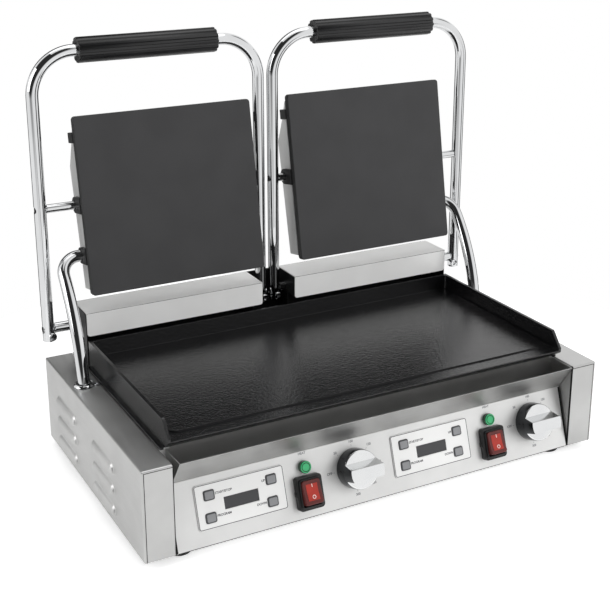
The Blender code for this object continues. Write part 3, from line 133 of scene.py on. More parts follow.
# the same sheet where the photo shows it pale and without mirror images: partly diffuse
# these paler, partly diffuse copies of the same sheet are painted light: lit copies of one material
steelFascia = patterned("stainlessFascia", "#E2E2E1", "#DBDBDA", 0.45, (0.38, 0.46), alongX, 0.06)
steelCover = patterned("stainlessHingeCover", "#F2F2F1", "#EDEDEC", 0.2, (0.34, 0.44), alongX, 0.12)
steelShell = patterned("stainlessLidShell", "#E4E4E3", "#DEDEDD", 0.45, (0.34, 0.44), alongX, 0.12)
# the tray's sheet, a darker copy of the ground sheet: painted shade
steelTray = patterned("stainlessTrayPaintedShade", "#BCBCBB", "#B2B2B1", 1.0, (0.36, 0.46), alongX, 0.08)
# bright nickel-chrome plate on steel rod, the softer plate on the moulded knobs, and a darker copy of it for
# the knobs' sides: painted shade, the dark that the chrome mirrors there
chrome = patterned("chromePlate", "#DFE0E1", "#D9DADB", 1.0, (0.03, 0.07), 0.012, 0.0)
chromeKnob = patterned("chromeOnPlastic", "#E8E9E9", "#E2E3E4", 1.0, (0.10, 0.18), 0.004, 0.0)
chromeSkirtShade = patterned("chromeKnobSidePaintedShade", "#4E4F51", "#48494B", 1.0, (0.12, 0.20), 0.004, 0.0)
# cast iron under a matt ceramic coat. The sand-cast grain is about 1 mm; on the lower plate 2.7 mm, to show.
# the lower plate's copy is much darker than the lids': painted shade, for the weaker light on its upward
# face
coatLowerShaded = patterned("coatedIronLowerPaintedShade", "#121213", "#0E0E0F", 0.0, (0.14, 0.24), 0.0027, 0.58,
                      specular=0.60)
coatUpper = patterned("coatedIronUpper", "#373738", "#333334", 0.0, (0.50, 0.60), 0.0011, 0.12)
# powder coat with orange peel, satin nylon switch frames, dull phenolic grips, rubber with a dry bloom
blackSteel = patterned("powderCoatBlack", "#161617", "#101011", 0.0, (0.42, 0.55), 0.0012, 0.25)
blackPlastic = patterned("nylonBlack", "#151516", "#101011", 0.0, (0.30, 0.42), 0.0006, 0.08)
gripPlastic = patterned("phenolicGrip", "#1B1B1C", "#141415", 0.0, (0.28, 0.38), 0.0006, 0.08)
footRubber = patterned("footRubber", "#141414", "#1C1C1C", 0.0, (0.70, 0.85), 0.0008, 0.30)
# printed polyester overlay with its inks, silicone keys, and the smoked window of the display
overlayFilm = patterned("printedOverlayFilm", "#ECECEB", "#E6E6E5", 0.0, (0.42, 0.50), 0.0005, 0.03)
# its ink also draws the dark line round each panel's edge: painted shade of the panel's thickness
overlayInkAndEdgeShade = patterned("screenPrintInkAndEdgeShade", "#3C3D41", "#45464A", 0.0, (0.50, 0.60), 0.0005, 0.0)
dialInk = patterned("etchedDialInk", "#707175", "#78797D", 0.0, (0.50, 0.60), 0.0005, 0.0)
displayGlass = patterned("smokedDisplayWindow", "#3B3B3D", "#38383A", 0.0, (0.33, 0.35), 0.002, 0.0)
buttonRubber = patterned("siliconeKey", "#8D8E90", "#868789", 0.0, (0.45, 0.55), 0.0005, 0.04)
buttonRim = patterned("siliconeKeyRim", "#4B4C4E", "#454648", 0.0, (0.45, 0.55), 0.0005, 0.04)
# dyed polycarbonate over small neon lamps: saturated, glossy, lit a little from within
greenLens = patterned("greenNeonLens", "#2FA569", "#289A60", 0.0, (0.14, 0.22), 0.001, 0.05, 0.006, 0.4, 0.1)
# a darker copy for the lens's sides and groove: painted shade
greenLensShade = patterned("greenLensPaintedShade", "#0F4A2C", "#0C4025", 0.0, (0.14, 0.22), 0.001, 0.05, 0.006, 0.4)
redRocker = patterned("redRockerLit", "#A42C20", "#98271B", 0.0, (0.36, 0.44), 0.001, 0.05, 0.01, glow=0.06)
redBody = patterned("redRockerBody", "#5A1F1C", "#501A18", 0.0, (0.36, 0.44), 0.001, 0.05, 0.01)
whiteInk = patterned("whitePadPrint", "#E9DAD6", "#E3D2CE", 0.0, (0.40, 0.50), 0.0005, 0.0)
# oiled spring wire, heater sheaths tinted by heat, zinc on the thermostats, gaps that no light reaches
springSteel = patterned("oiledSpringWire", "#77777A", "#6C6C6F", 1.0, (0.25, 0.35), 0.002, 0.05)
elementSteel = patterned("heatTintedSheath", "#6E665E", "#5E584F", 1.0, (0.35, 0.50), 0.002, 0.10)
innerPaint = patterned("zincPassivated", "#6C6D70", "#626366", 0.3, (0.40, 0.55), 0.001, 0.05)
darkHole = patterned("unlitHole", "#0A0A0A", "#080808", 0.0, (0.80, 0.90), 0.001, 0.0)
print("materials made:", len(bpy.data.materials))


# shapes

def solidBetween(firstLoop, lastLoop):
    # two matching outlines joined to a closed solid
    shape = bmesh.new()
    first = [shape.verts.new(corner) for corner in firstLoop]
    last = [shape.verts.new(corner) for corner in lastLoop]
    shape.faces.new(first)
    shape.faces.new(last)
    for index in range(len(first)):
        after = (index + 1) % len(first)
        shape.faces.new((first[index], first[after], last[after], last[index]))
    bmesh.ops.recalc_face_normals(shape, faces=shape.faces)
    return shape


def prism(loop, low, high, axis):
    # an outline in the plane across an axis, given depth along it
    order = {"x": (2, 0, 1), "y": (0, 2, 1), "z": (0, 1, 2)}[axis]
    loops = [[[(u, v, depth)[part] for part in order] for u, v in loop] for depth in (low, high)]
    return solidBetween(*loops)


def rectangle(low, high):
    return [(low[0], low[1]), (high[0], low[1]), (high[0], high[1]), (low[0], high[1])]


def block(low, high):
    return prism(rectangle(low, high), low[2], high[2], "z")


def rounded(points, radius, steps=5, closed=True):
    # corners of an outline or path turned into arcs; a radius of 0 keeps the corner
    radii = radius if isinstance(radius, (list, tuple)) else [radius] * len(points)
    result = []
    for index, corner in enumerate(points):
        here = Vector(corner)
        if radii[index] == 0 or (not closed and index in (0, len(points) - 1)):
            result.append(here)
            continue
        before = (Vector(points[index - 1]) - here).normalized()
        after = (Vector(points[(index + 1) % len(points)]) - here).normalized()
        half = before.angle(after) / 2
        centre = here + (before + after).normalized() * (radii[index] / math.sin(half))
        first = here + before * (radii[index] / math.tan(half)) - centre
        last = here + after * (radii[index] / math.tan(half)) - centre
        sweep = math.pi - 2 * half
        for step in range(steps + 1):
            share = step / steps
            spoke = first * math.sin((1 - share) * sweep) + last * math.sin(share * sweep)
            result.append(centre + spoke / math.sin(sweep))
    return result


def plaque(width, height, radius, steps=5):
    # a rounded rectangle round the origin
    return rounded(rectangle((-width / 2, -height / 2), (width / 2, height / 2)), radius, steps)


def circle(centre, radius, steps=32):
    turns = [2 * math.pi * step / steps for step in range(steps)]
    return [(centre[0] + radius * math.cos(turn), centre[1] + radius * math.sin(turn)) for turn in turns]


def halfRound(centre, radius, steps):
    # half a circle that bulges along the outline's first axis, from its low end to its high one
    turns = [math.pi * step / steps for step in range(steps + 1)]
    return [(centre[0] + radius * math.sin(turn), centre[1] - radius * math.cos(turn)) for turn in turns]


def span(way, first, last, middle=0):
    # two distances from a middle, one way along x, as a low and a high end
    return sorted((middle + way * first, middle + way * last))


def revolved(profile, steps=48):
    # (radius, height) points spun round z; a closed profile makes a ring, one that ends on the axis a solid
    shape = bmesh.new()
    rings = []
    for radius, height in profile:
        spots = circle((0, 0), radius, steps) if radius else [(0, 0)]
        rings.append([shape.verts.new((*spot, height)) for spot in spots])
    closed = profile[0][0] > 0 and profile[-1][0] > 0
    pairs = list(zip(rings, rings[1:])) + ([(rings[-1], rings[0])] if closed else [])
    for first, second in pairs:
        for step in range(steps):
            after = (step + 1) % steps
            corners = [first[step % len(first)], first[after % len(first)],
                       second[after % len(second)], second[step % len(second)]]
            shape.faces.new(list(dict.fromkeys(corners)))
    bmesh.ops.recalc_face_normals(shape, faces=shape.faces)
    return shape


def merged(shapes):
    result = bmesh.new()
    for shape in shapes:
        mesh = bpy.data.meshes.new("part")
        shape.to_mesh(mesh)
        shape.free()
        result.from_mesh(mesh)
        bpy.data.meshes.remove(mesh)
    return result


def moved(shape, matrix):
    bmesh.ops.transform(shape, matrix=matrix, verts=shape.verts)
    return shape


def linked(name, data):
    item = bpy.data.objects.new(name, data)
    bpy.context.scene.collection.objects.link(item)
    return item


def objectFrom(shape, name, material=None):
    mesh = bpy.data.meshes.new(name)
    shape.to_mesh(mesh)
    shape.free()
    if material:
        mesh.materials.append(material)
    return linked(name, mesh)


def shapeOf(piece):
    # a piece turned back into a bare shape
    shape = bmesh.new()
    shape.from_mesh(piece.data)
    bpy.data.objects.remove(piece, do_unlink=True)
    return shape


def settle(piece):
    # turns the modifiers' result into the piece's own plain mesh
    graph = bpy.context.evaluated_depsgraph_get()
    mesh = bpy.data.meshes.new_from_object(piece.evaluated_get(graph))
    piece.modifiers.clear()
    piece.data = mesh
    return piece


def carve(piece, operation, shape):
    tool = objectFrom(shape, "tool")
    modifier = piece.modifiers.new("carve", "BOOLEAN")
    modifier.operation = operation
    modifier.solver = "EXACT"
    modifier.object = tool
    settle(piece)
    bpy.data.objects.remove(tool, do_unlink=True)


def drill(piece, at, radius, ends, steps=32):
    # a round hole along x through (y, z), or one with flats when the steps are few
    carve(piece, "DIFFERENCE", prism(circle(at, radius, steps), *ends, "x"))


def addBevel(piece, width, segments=2, angle=30):
    bevel = piece.modifiers.new("edges", "BEVEL")
    bevel.width = width
    bevel.segments = segments
    bevel.limit_method = "ANGLE"
    bevel.angle_limit = math.radians(angle)
    bevel.harden_normals = True


def softenEdges(piece, width, segments=2, angle=30):
    # rounds the sharp edges, so that they catch the light, and keeps the flats flat
    piece.data.shade_smooth()
    addBevel(piece, width, segments, angle)
    return settle(piece)


def fused(name, pieces):
    # finished pieces in one mesh, each with its own material
    shape = bmesh.new()
    finishes = []
    for piece in pieces:
        material = piece.data.materials[0]
        if material not in finishes:
            finishes.append(material)
        known = len(shape.faces)
        shape.from_mesh(piece.data)
        shape.faces.ensure_lookup_table()
        for face in shape.faces[known:]:
            face.material_index = finishes.index(material)
        bpy.data.objects.remove(piece, do_unlink=True)
    result = objectFrom(shape, name)
    for material in finishes:
        result.data.materials.append(material)
    return result


def smooth(piece, angle=35):
    piece.data.shade_smooth()
    piece.data.set_sharp_from_angle(angle=math.radians(angle))
    return piece


def turned(name, profile, place, material, steps=48, angle=35):
    # a profile spun round an axis, in its place
    return smooth(objectFrom(moved(revolved(profile, steps), place), name, material), angle)


def stands(piece, body, slot, *replaced):
    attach(piece, body)
    if replaced:
        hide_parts(*replaced)


def newTree(name, sockets):
    # an empty Geometry Nodes tree with a geometry socket and the named inputs, and its input node
    tree = bpy.data.node_groups.new(name, "GeometryNodeTree")
    tree.interface.new_socket("Geometry", in_out="INPUT", socket_type="NodeSocketGeometry")
    for title, kind in sockets.items():
        tree.interface.new_socket(title, in_out="INPUT", socket_type="NodeSocket" + kind)
    tree.interface.new_socket("Geometry", in_out="OUTPUT", socket_type="NodeSocketGeometry")
    return tree, addNode(tree, "NodeGroupInput")


def endTree(tree, given, geometry):
    real = addNode(tree, "GeometryNodeRealizeInstances", {"Geometry": geometry})
    finish = given.outputs["Finish"]
    coated = addNode(tree, "GeometryNodeSetMaterial", {"Geometry": real, "Material": finish})
    addNode(tree, "NodeGroupOutput", {"Geometry": coated})
    return tree


def grown(piece, tree, values):
    # runs a tree on a piece with the given inputs and keeps the result as a plain mesh
    modifier = piece.modifiers.new(tree.name, "NODES")
    modifier.node_group = tree
    for item in tree.interface.items_tree:
        if item.in_out == "INPUT" and item.name in values:
            modifier[item.identifier] = values[item.name]
    return settle(piece)


# rods, tubes and wires: one tree sweeps a round section along a path

def sweptRod():
    tree, given = newTree("sweptRod", {"Radius": "Float", "Sides": "Int", "Finish": "Material"})
    path = addNode(tree, "GeometryNodeMeshToCurve", {"Mesh": given.outputs["Geometry"]})
    share = addNode(tree, "GeometryNodeInputNamedAttribute", {"Name": "share"}, data_type="FLOAT")
    shaped = addNode(tree, "GeometryNodeSetCurveRadius",
                     {"Curve": path, "Radius": share.outputs["Attribute"]})
    section = addNode(tree, "GeometryNodeCurvePrimitiveCircle", {"Resolution": given.outputs["Sides"],
                                                                 "Radius": given.outputs["Radius"]})
    swept = addNode(tree, "GeometryNodeCurveToMesh", {"Curve": shaped, "Profile Curve": section,
                                                      "Fill Caps": True})
    return endTree(tree, given, addNode(tree, "GeometryNodeSetShadeSmooth", {"Geometry": swept}))


rodTree = sweptRod()


def rod(name, points, radius, material, ends="flat", steps=28):
    # a bar along a path, with half-round or slightly chamfered ends
    points = [Vector(point) for point in points]
    first = (points[1] - points[0]).normalized()
    last = (points[-2] - points[-1]).normalized()
    if ends == "round":
        turns = [math.pi / 2 * step / 5 for step in range(6)]
        cap = [(radius * (1 - math.sin(turn)), max(math.cos(turn), 0.05)) for turn in turns[::-1]]
    else:
        chamfer = 0.12
        cap = [(0, 1 - chamfer), (radius * chamfer, 1.0)]
    head = [(points[0] + first * reach, size) for reach, size in cap]
    tail = [(points[-1] + last * reach, size) for reach, size in cap[::-1]]
    full = head + [(point, 1.0) for point in points[1:-1]] + tail
    mesh = bpy.data.meshes.new(name)
    edges = [(index, index + 1) for index in range(len(full) - 1)]
    mesh.from_pydata([spot for spot, size in full], edges, [])
    mesh.attributes.new("share", "FLOAT", "POINT").data.foreach_set("value", [size for spot, size in full])
    piece = grown(linked(name, mesh), rodTree, {"Radius": radius, "Sides": steps, "Finish": material})
    return piece if ends == "round" else smooth(piece, 40)


hingeAt = Vector(joints["left_lid_hinge"]["pos_m"])
pivotAt = Vector(joints["left_plate_tilt"]["pos_m"])
lugAt = Vector(joints["left_conduit_swivel"]["pos_m"])
# outlines of the base are measured from a hinge axis at y 0.138, z 0.1462: how far they lie back and up here
baseBack, baseUp = hingeAt.y - 0.138, hingeAt.z - 0.1462
base = {"width": 0.57, "halfDepth": 0.159, "deck": 0.1022, "boxInside": 0.2513}

handle = {"outer": 0.2845, "inner": 0.0094, "radius": 0.0070, "tail": 0.0140, "height": 0.3208,
          "bend": 0.0485}
# a spigot ends short of the bar's outside: the shaft's in a ring groove, the rod's in a pocket with a screw
shaft = {"radius": 0.0060, "spigot": 0.0040, "short": 0.0003, "groove": 0.0047, "grooveDepth": 0.0014}
pivot = {"radius": 0.0050, "spigot": 0.0030, "short": 0.0024, "pocket": 0.0044, "pocketDepth": 0.0020}
pocketScrew = {"radius": 0.0036, "sunk": 0.0002, "height": 0.0010, "socket": 0.0018}
beyondBar = 0.012


def steppedRod(name, sign, at, sizes):
    # a rod between the bars, with a thinner spigot into each bar
    inset, reach = handle["radius"] + gap, handle["radius"] - sizes["short"]
    pieces = []
    for key, low, high, steps in (("radius", handle["inner"] + inset, handle["outer"] - inset, 32),
                                  ("spigot", handle["inner"] - reach, handle["outer"] + reach, 24)):
        ends = [(sign * x, at.y, at.z) for x in (low, high)]
        pieces.append(rod(key, ends, sizes[key], chrome, steps=steps))
    return smooth(fused(name, pieces), 40)


for side, sign in sides.items():
    foot, top = hingeAt.z - handle["tail"], hingeAt.z + handle["height"]
    corners = [(sign * handle[bar], hingeAt.y, z)
               for bar, z in (("outer", foot), ("outer", top), ("inner", top), ("inner", foot))]
    path = rounded(corners, handle["bend"], 24, closed=False)
    bar = rod(side + "HandleBar", path, handle["radius"], chrome, "round")
    heads = []
    seat = handle["radius"] - pivot["pocketDepth"]
    for x in (handle["inner"], handle["outer"]):
        for way in (-1, 1):
            drill(bar, pivotAt.yz, pivot["pocket"], span(way, seat, beyondBar, sign * x), 24)
            low, high = span(way, seat - pocketScrew["sunk"],
                             seat - pocketScrew["sunk"] + pocketScrew["height"], sign * x)
            disc = prism(circle(pivotAt.yz, pocketScrew["radius"], 24), low, high, "x")
            head = objectFrom(disc, "head", blackSteel)
            drill(head, pivotAt.yz, pocketScrew["socket"], (low - 0.001, high + 0.001), 6)
            heads.append(smooth(head, 30))
    for x, way in ((handle["inner"], -sign), (handle["outer"], sign)):
        ends = span(way, handle["radius"] - shaft["grooveDepth"], beyondBar, sign * x)
        drill(bar, hingeAt.yz, shaft["groove"], ends, 24)
    stands(smooth(bar, 40), side + "_frame", "chrome", side + "_handle_frame")
    for title, node, at, sizes in (("HingeShaft", "_hinge_shaft", hingeAt, shaft),
                                   ("PivotRod", "_pivot_rod", pivotAt, pivot)):
        stands(steppedRod(side + title, sign, at, sizes), side + "_frame", "chrome", side + node)
    stands(fused(side + "PivotScrews", heads), side + "_frame", "chrome")

conduit = {"x": 0.2690, "radius": 0.0070, "bend": 0.0220, "lowLean": math.radians(8), "tail": 0.0030,
           "highLean": math.radians(40), "end": 0.2397, "deck": 0.1122}


def conduitPath(sign):
    # leans forward in one long sweep, then turns in towards the lid's lug; returns the foot's y too
    low, high, bend = conduit["lowLean"], conduit["highLean"], conduit["bend"]
    rise = lugAt.z - conduit["deck"] - bend * math.cos(high)
    sweep = rise / (math.sin(high) - math.sin(low))
    footY = lugAt.y - sweep * (math.cos(low) - math.cos(high)) - bend * math.sin(high)
    start = math.asin(math.sin(low) - conduit["tail"] / sweep)
    points = []
    for step in range(25):
        lean = start + (high - start) * step / 24
        points.append(Vector((sign * conduit["x"], footY + sweep * (math.cos(low) - math.cos(lean)),
                              conduit["deck"] + sweep * (math.sin(lean) - math.sin(low)))))
    corner = points[-1]
    along, inward = Vector((0, math.sin(high), math.cos(high))), Vector((-sign, 0, 0))
    for step in range(1, 17):
        turn = math.pi / 2 * step / 16
        points.append(corner + (along * math.sin(turn) + inward * (1 - math.cos(turn))) * bend)
    points.append(Vector((sign * conduit["end"], points[-1].y, points[-1].z)))
    return points, footY


for side, sign in sides.items():
    points, collarY = conduitPath(sign)
    stands(rod(side + "Conduit", points, conduit["radius"], chrome), side + "_conduit", "chrome",
           side + "_conduit_tube")

collar = {"bore": 0.0092, "radius": 0.0122, "height": 0.0030}
bore, wide, tall = collar["bore"], collar["radius"], collar["height"]
# straight inside, rolled over the top, then flared down to the deck
profile = [(bore, gap), (bore, tall - 0.0004), (bore + 0.0003, tall), (bore + 0.0009, tall),
           (bore + 0.0016, tall - 0.0006), (wide - 0.0003, tall - 0.0018), (wide, tall - 0.0024),
           (wide, gap)]
for side, sign in sides.items():
    place = Matrix.Translation((sign * conduit["x"], collarY, conduit["deck"]))
    stands(turned(side + "Collar", profile, place, chrome), "base", "chrome", side + "_conduit_collar")
print("rods and tubes made")


# grips: a turned bush, whose outside the tree presses in between its ribs

def gripFlutes():
    tree, given = newTree("gripFlutes", {"Count": "Float", "Depth": "Float", "From": "Float",
                                         "Axis": "Vector", "Finish": "Material"})
    spot = addNode(tree, "GeometryNodeInputPosition")
    away = addNode(tree, "ShaderNodeVectorMath", {0: spot, 1: given.outputs["Axis"]}, operation="SUBTRACT")
    flat = addNode(tree, "ShaderNodeVectorMath", {0: away, 1: (0, 1, 1)}, operation="MULTIPLY")
    parts = addNode(tree, "ShaderNodeSeparateXYZ", {"Vector": flat})
    turn = addNode(tree, "ShaderNodeMath", {0: parts.outputs["Z"], 1: parts.outputs["Y"]},
                   operation="ARCTAN2")
    waves = addNode(tree, "ShaderNodeMath", {0: turn, 1: given.outputs["Count"]}, operation="MULTIPLY")
    crest = addNode(tree, "ShaderNodeMath", {0: waves}, operation="COSINE")
    valley = addNode(tree, "ShaderNodeMapRange", {"Value": crest, "From Min": 0.35, "From Max": -0.35},
                     interpolation_type="SMOOTHSTEP")
    reach = addNode(tree, "ShaderNodeVectorMath", {0: flat}, operation="LENGTH")
    outside = addNode(tree, "ShaderNodeMath", {0: reach.outputs["Value"], 1: given.outputs["From"]},
                      operation="GREATER_THAN")
    amount = addNode(tree, "ShaderNodeMath", {0: valley, 1: given.outputs["Depth"]}, operation="MULTIPLY")
    masked = addNode(tree, "ShaderNodeMath", {0: amount, 1: outside}, operation="MULTIPLY")
    inward = addNode(tree, "ShaderNodeMath", {0: masked, 1: -1.0}, operation="MULTIPLY")
    spoke = addNode(tree, "ShaderNodeVectorMath", {0: flat}, operation="NORMALIZE")
    push = addNode(tree, "ShaderNodeVectorMath", {0: spoke, "Scale": inward}, operation="SCALE")
    fluted = addNode(tree, "GeometryNodeSetPosition",
                     {"Geometry": given.outputs["Geometry"], "Offset": push})
    return endTree(tree, given, fluted)


fluteTree = gripFlutes()
grip = {"length": 0.167, "radius": 0.01435, "bore": 0.0073, "flutes": 12, "depth": 0.0013, "chamfer": 0.0012,
        "shift": 0.0015, "stepsPerFlute": 16}
half, wide, chamfer = grip["length"] / 2, grip["radius"], grip["chamfer"]
end = [(grip["bore"], -half), (wide - chamfer - 0.0002, -half),
       (wide - chamfer * 0.3, -half + chamfer * 0.35), (wide, -half + chamfer)]
profile = end + [(wide, 0)] + [(radius, -height) for radius, height in end[::-1]]
for side, sign in sides.items():
    middle = sign * ((handle["outer"] + handle["inner"]) / 2 + grip["shift"])
    at = Vector((middle, hingeAt.y, hingeAt.z + handle["height"]))
    shape = revolved(profile, grip["flutes"] * grip["stepsPerFlute"])
    moved(shape, Matrix.Translation(at) @ Matrix.Rotation(math.pi / 2, 4, "Y"))
    piece = grown(objectFrom(shape, side + "Grip"), fluteTree, {
        "Count": float(grip["flutes"]), "Depth": grip["depth"], "From": wide - chamfer - 0.0004, "Axis": at,
        "Finish": gripPlastic})
    stands(smooth(piece, 40), side + "_frame", "grip", side + "_handle_grip")
print("grips made")


# lower plate: one casting with walls on three sides, a raised surface and a lip over the tray

lowerPlate = {"halfWidth": 0.2485, "wall": 0.0035, "back": 0.1020, "foot": 0.1046, "rim": 0.1370,
              "rimFront": 0.1245, "lip": 0.1390, "lipTop": 0.1190, "lipFoot": 0.1140, "chin": 0.1260,
              "surface": 0.1178, "channel": 0.1163, "channelWidth": 0.0050, "frontBand": 0.0180,
              "ceiling": 0.1108, "corner": 0.0050, "padCorner": 0.012, "edge": 0.0007}
underside = {"wall": 0.0065, "front": -0.1195, "back": 0.0955, "below": 0.1100}
flange = {"edge": 0.2520, "foot": 0.1027, "thickness": 0.0026}


def shifted(loop):
    return [(y + baseBack, z + baseUp) for y, z in loop]


size = lowerPlate
corners = [(size["back"], size["foot"]), (size["back"], size["rim"]), (-size["rimFront"], size["rim"]),
           (-size["lip"], size["lipTop"]), (-size["lip"], size["lipFoot"]), (-size["chin"], size["foot"])]
section = rounded(corners, [0, 0, 0.0030, 0.0018, 0.0020, 0])
halfWidth = size["halfWidth"]
# its coat is the darker copy: painted shade
plate = objectFrom(prism(shifted(section), -halfWidth, halfWidth, "x"), "lowerPlate", coatLowerShaded)
inside = halfWidth - size["wall"]
insideBack = size["back"] - size["wall"] + baseBack
room = rounded(rectangle((-inside, -0.1450), (inside, insideBack)), [0, 0, size["corner"], size["corner"]])
carve(plate, "DIFFERENCE", prism(room, size["channel"] + baseUp, 0.1600, "z"))
reach = inside - size["channelWidth"]
pad = rectangle((-reach, size["frontBand"] - size["lip"] + baseBack), (reach, insideBack + 0.0010))
pad = rounded(pad, [size["padCorner"], size["padCorner"], 0, 0], 8)
carve(plate, "UNION", prism(pad, size["ceiling"] + baseUp + 0.0010, size["surface"] + baseUp, "z"))
reach = halfWidth - underside["wall"]
carve(plate, "DIFFERENCE", block((-reach, underside["front"] + baseBack, underside["below"]),
                                 (reach, underside["back"] + baseBack, size["ceiling"] + baseUp)))
for sign in sides.values():
    low, high = span(sign, halfWidth - 0.0005, flange["edge"])
    bottom = flange["foot"] + baseUp
    carve(plate, "UNION", block((low, -size["chin"] + baseBack, bottom),
                                (high, size["back"] + baseBack, bottom + flange["thickness"])))
stands(softenEdges(plate, size["edge"], 3), "base", "cast_coated", "lower_plate")
print("lower plate made")


# lids: a thin-rimmed cast plate, a block behind it with bosses for the pivot rod, a lug for the conduit and
# stop lugs, and a folded stainless cover with a ridge across it

upperPlate = {"centreX": 0.1344, "halfWidth": 0.1088, "foot": -0.1030, "top": 0.1010, "face": 0.0280,
              "thickness": 0.0170, "rim": 0.0090, "blockInset": 0.0060, "corner": 0.0040,
              "tilt": math.radians(-10.5)}
lug = {"radius": 0.0095, "reach": 0.0010, "root": 0.0010, "conduit": (-0.00096, -0.05845),
       "stop": (0.0710, 0.0830), "stopBack": -0.0040}
upperCover = {"halfWidth": 0.1050, "low": -0.0990, "high": 0.0930, "shoulder": 0.0740, "ridge": 0.0430,
              "bottomDepth": 0.0385, "ridgeDepth": 0.0450, "topDepth": 0.0265, "sheet": 0.0012,
              "cableHole": 0.0050, "beyond": 0.002}


def upperCasting(side, sign):
    size, cover = upperPlate, upperCover
    wide, back, inset = size["halfWidth"], size["rim"] - size["face"], size["blockInset"]
    outline = rounded(rectangle((-wide, size["foot"]), (wide, size["top"])), size["corner"])
    front = prism(outline, -size["face"], back, "y")
    pieces = [softenEdges(objectFrom(front, "face", coatUpper), 0.0010, 3)]
    outline = rounded(rectangle((-wide + inset, size["foot"] + inset), (wide - inset, size["top"] - inset)),
                      size["corner"])
    rear = prism(outline, back - 0.0005, size["thickness"] - size["face"], "y")
    pieces.append(objectFrom(rear, "rear", blackSteel))
    root = back - lug["root"]
    for way in (-1, 1):
        ends = span(way, cover["halfWidth"] + gap, wide + lug["reach"])
        bores = [((0, 0), pivot["radius"])]
        if way == sign:
            bores.append((lug["conduit"], conduit["radius"]))
        for centre, radius in bores:
            arc = halfRound(centre, lug["radius"], 24)
            outline = [(root, arc[0][1]), *arc, (root, arc[-1][1])]
            boss = objectFrom(prism(outline, *ends, "x"), "lug", blackSteel)
            drill(boss, centre, radius + gap, (ends[0] - 0.01, ends[1] + 0.01))
            pieces.append(softenEdges(boss, 0.0005))
        stop = block((ends[0], root, lug["stop"][0]), (ends[1], lug["stopBack"], lug["stop"][1]))
        pieces.append(softenEdges(objectFrom(stop, "lug", blackSteel), 0.0008))
    plate = fused(side + "UpperPlate", pieces)
    # the plate's sides take the black powder coat: painted shade, the same coat drawn black where the sides
    # mirror the dark round them
    for polygon in plate.data.polygons:
        if abs(polygon.normal.x) > 0.8:
            polygon.material_index = 1
    return plate


def coverShell(side, sign):
    cover, face = upperCover, upperPlate["face"]
    mouth, low, high = upperPlate["thickness"] - face + gap, cover["low"], cover["high"]
    bottom, ridge, top = (cover[key] - face for key in ("bottomDepth", "ridgeDepth", "topDepth"))
    outer = rounded([(mouth, low), (bottom, low), (ridge, cover["ridge"]), (top, cover["shoulder"]),
                     (mouth + 0.0005, high), (mouth, high)], [0, 0.0020, 0.0030, 0.0020, 0, 0])
    sheet, front = cover["sheet"], mouth - cover["beyond"]
    inner = [(front, low + sheet), (bottom - sheet, low + sheet), (ridge - sheet, cover["ridge"]),
             (top - sheet, cover["shoulder"] - sheet), (front, high - 2 * sheet)]
    wide = cover["halfWidth"]
    reach = wide - sheet
    # the shell's paler copy of the sheet is painted light
    shell = objectFrom(prism(outer, -wide, wide, "x"), side + "UpperCover", steelShell)
    carve(shell, "DIFFERENCE", prism(inner, -reach, reach, "x"))
    # open slots for the pivot rod, and a hole behind the conduit's lug
    radius = pivot["radius"] + gap
    slot = [(front, -radius), (front, radius), *halfRound((0, 0), radius, 12)[::-1]]
    carve(shell, "DIFFERENCE", prism(slot, -0.2, 0.2, "x"))
    drill(shell, lug["conduit"], cover["cableHole"], span(sign, reach - 0.01, 0.2))
    return softenEdges(shell, 0.0004)


for side, sign in sides.items():
    inPlace = (Matrix.Translation((sign * upperPlate["centreX"], pivotAt.y, pivotAt.z))
               @ Matrix.Rotation(upperPlate["tilt"], 4, "X"))
    for make, slot, node in ((upperCasting, "cast_coated", "_upper_plate"),
                             (coverShell, "stainless", "_upper_cover")):
        piece = make(side, sign)
        piece.data.transform(inPlace)
        stands(piece, side + "_lid", slot, side + node)
print("lids made")


# controls: placed on the leaning fascia, x along it, y up its slope, z out of it. Places along x are shares
# of the base's width.

fascia = {"setback": 0.0228, "height": 0.0682}
lean = math.pi / 2 - math.atan2(fascia["setback"], fascia["height"])
onFascia = Matrix.Translation((0, baseBack - base["halfDepth"], baseUp)) @ Matrix.Rotation(lean, 4, "X")
clusterX = {"left": -0.2939 * base["width"], "right": 0.1272 * base["width"]}
panelX = {"left": clusterX["left"] - 0.0088 * base["width"],
          "right": clusterX["right"] - 0.0168 * base["width"]}


def fasciaPlace(x, y, z=0.0):
    return onFascia @ Matrix.Translation((x, y, z))


def words(items, name, material, thickness=0.00004):
    # flat print, joined in one mesh: each item is (text, height, x, y, z, align)
    shape = bmesh.new()
    for text, height, x, y, z, align in items:
        curve = bpy.data.curves.new(name, "FONT")
        curve.body = text
        curve.size = height
        curve.align_x = align
        curve.align_y = "CENTER"
        curve.extrude = thickness / 2
        curve.resolution_u = 3
        curve.offset = 0.00010   # a little bolder than the font
        holder = linked(name, curve)
        mesh = bpy.data.meshes.new_from_object(holder.evaluated_get(bpy.context.evaluated_depsgraph_get()))
        bpy.data.objects.remove(holder, do_unlink=True)
        mesh.transform(fasciaPlace(x, y, z + thickness / 2))
        shape.from_mesh(mesh)
        bpy.data.meshes.remove(mesh)
    return objectFrom(shape, name, material)


panel = {"width": 0.179 * base["width"], "height": 0.0468, "middle": 0.0402, "face": 0.0013,
         "corner": 0.0030, "line": 0.0007, "inset": 0.0004, "lineDepth": 0.0001, "lineProud": 0.00005}
# each button's place as shares of the panel's width and height, its word, and the word's end at the button
buttons = {"start_stop": (-0.345, 0.240, "START/STOP", "LEFT"),
           "program": (-0.355, -0.260, "PROGRAM", "LEFT"),
           "up": (0.350, 0.240, "UP", "RIGHT"), "down": (0.338, -0.260, "DOWN", "RIGHT")}
button = {"width": 0.0120, "height": 0.0105, "corner": 0.0020, "rim": 0.0012, "proud": 0.0023,
          "back": -0.0040, "wordGap": 0.0009, "wordRise": 0.0004, "wordHeight": 0.0034}


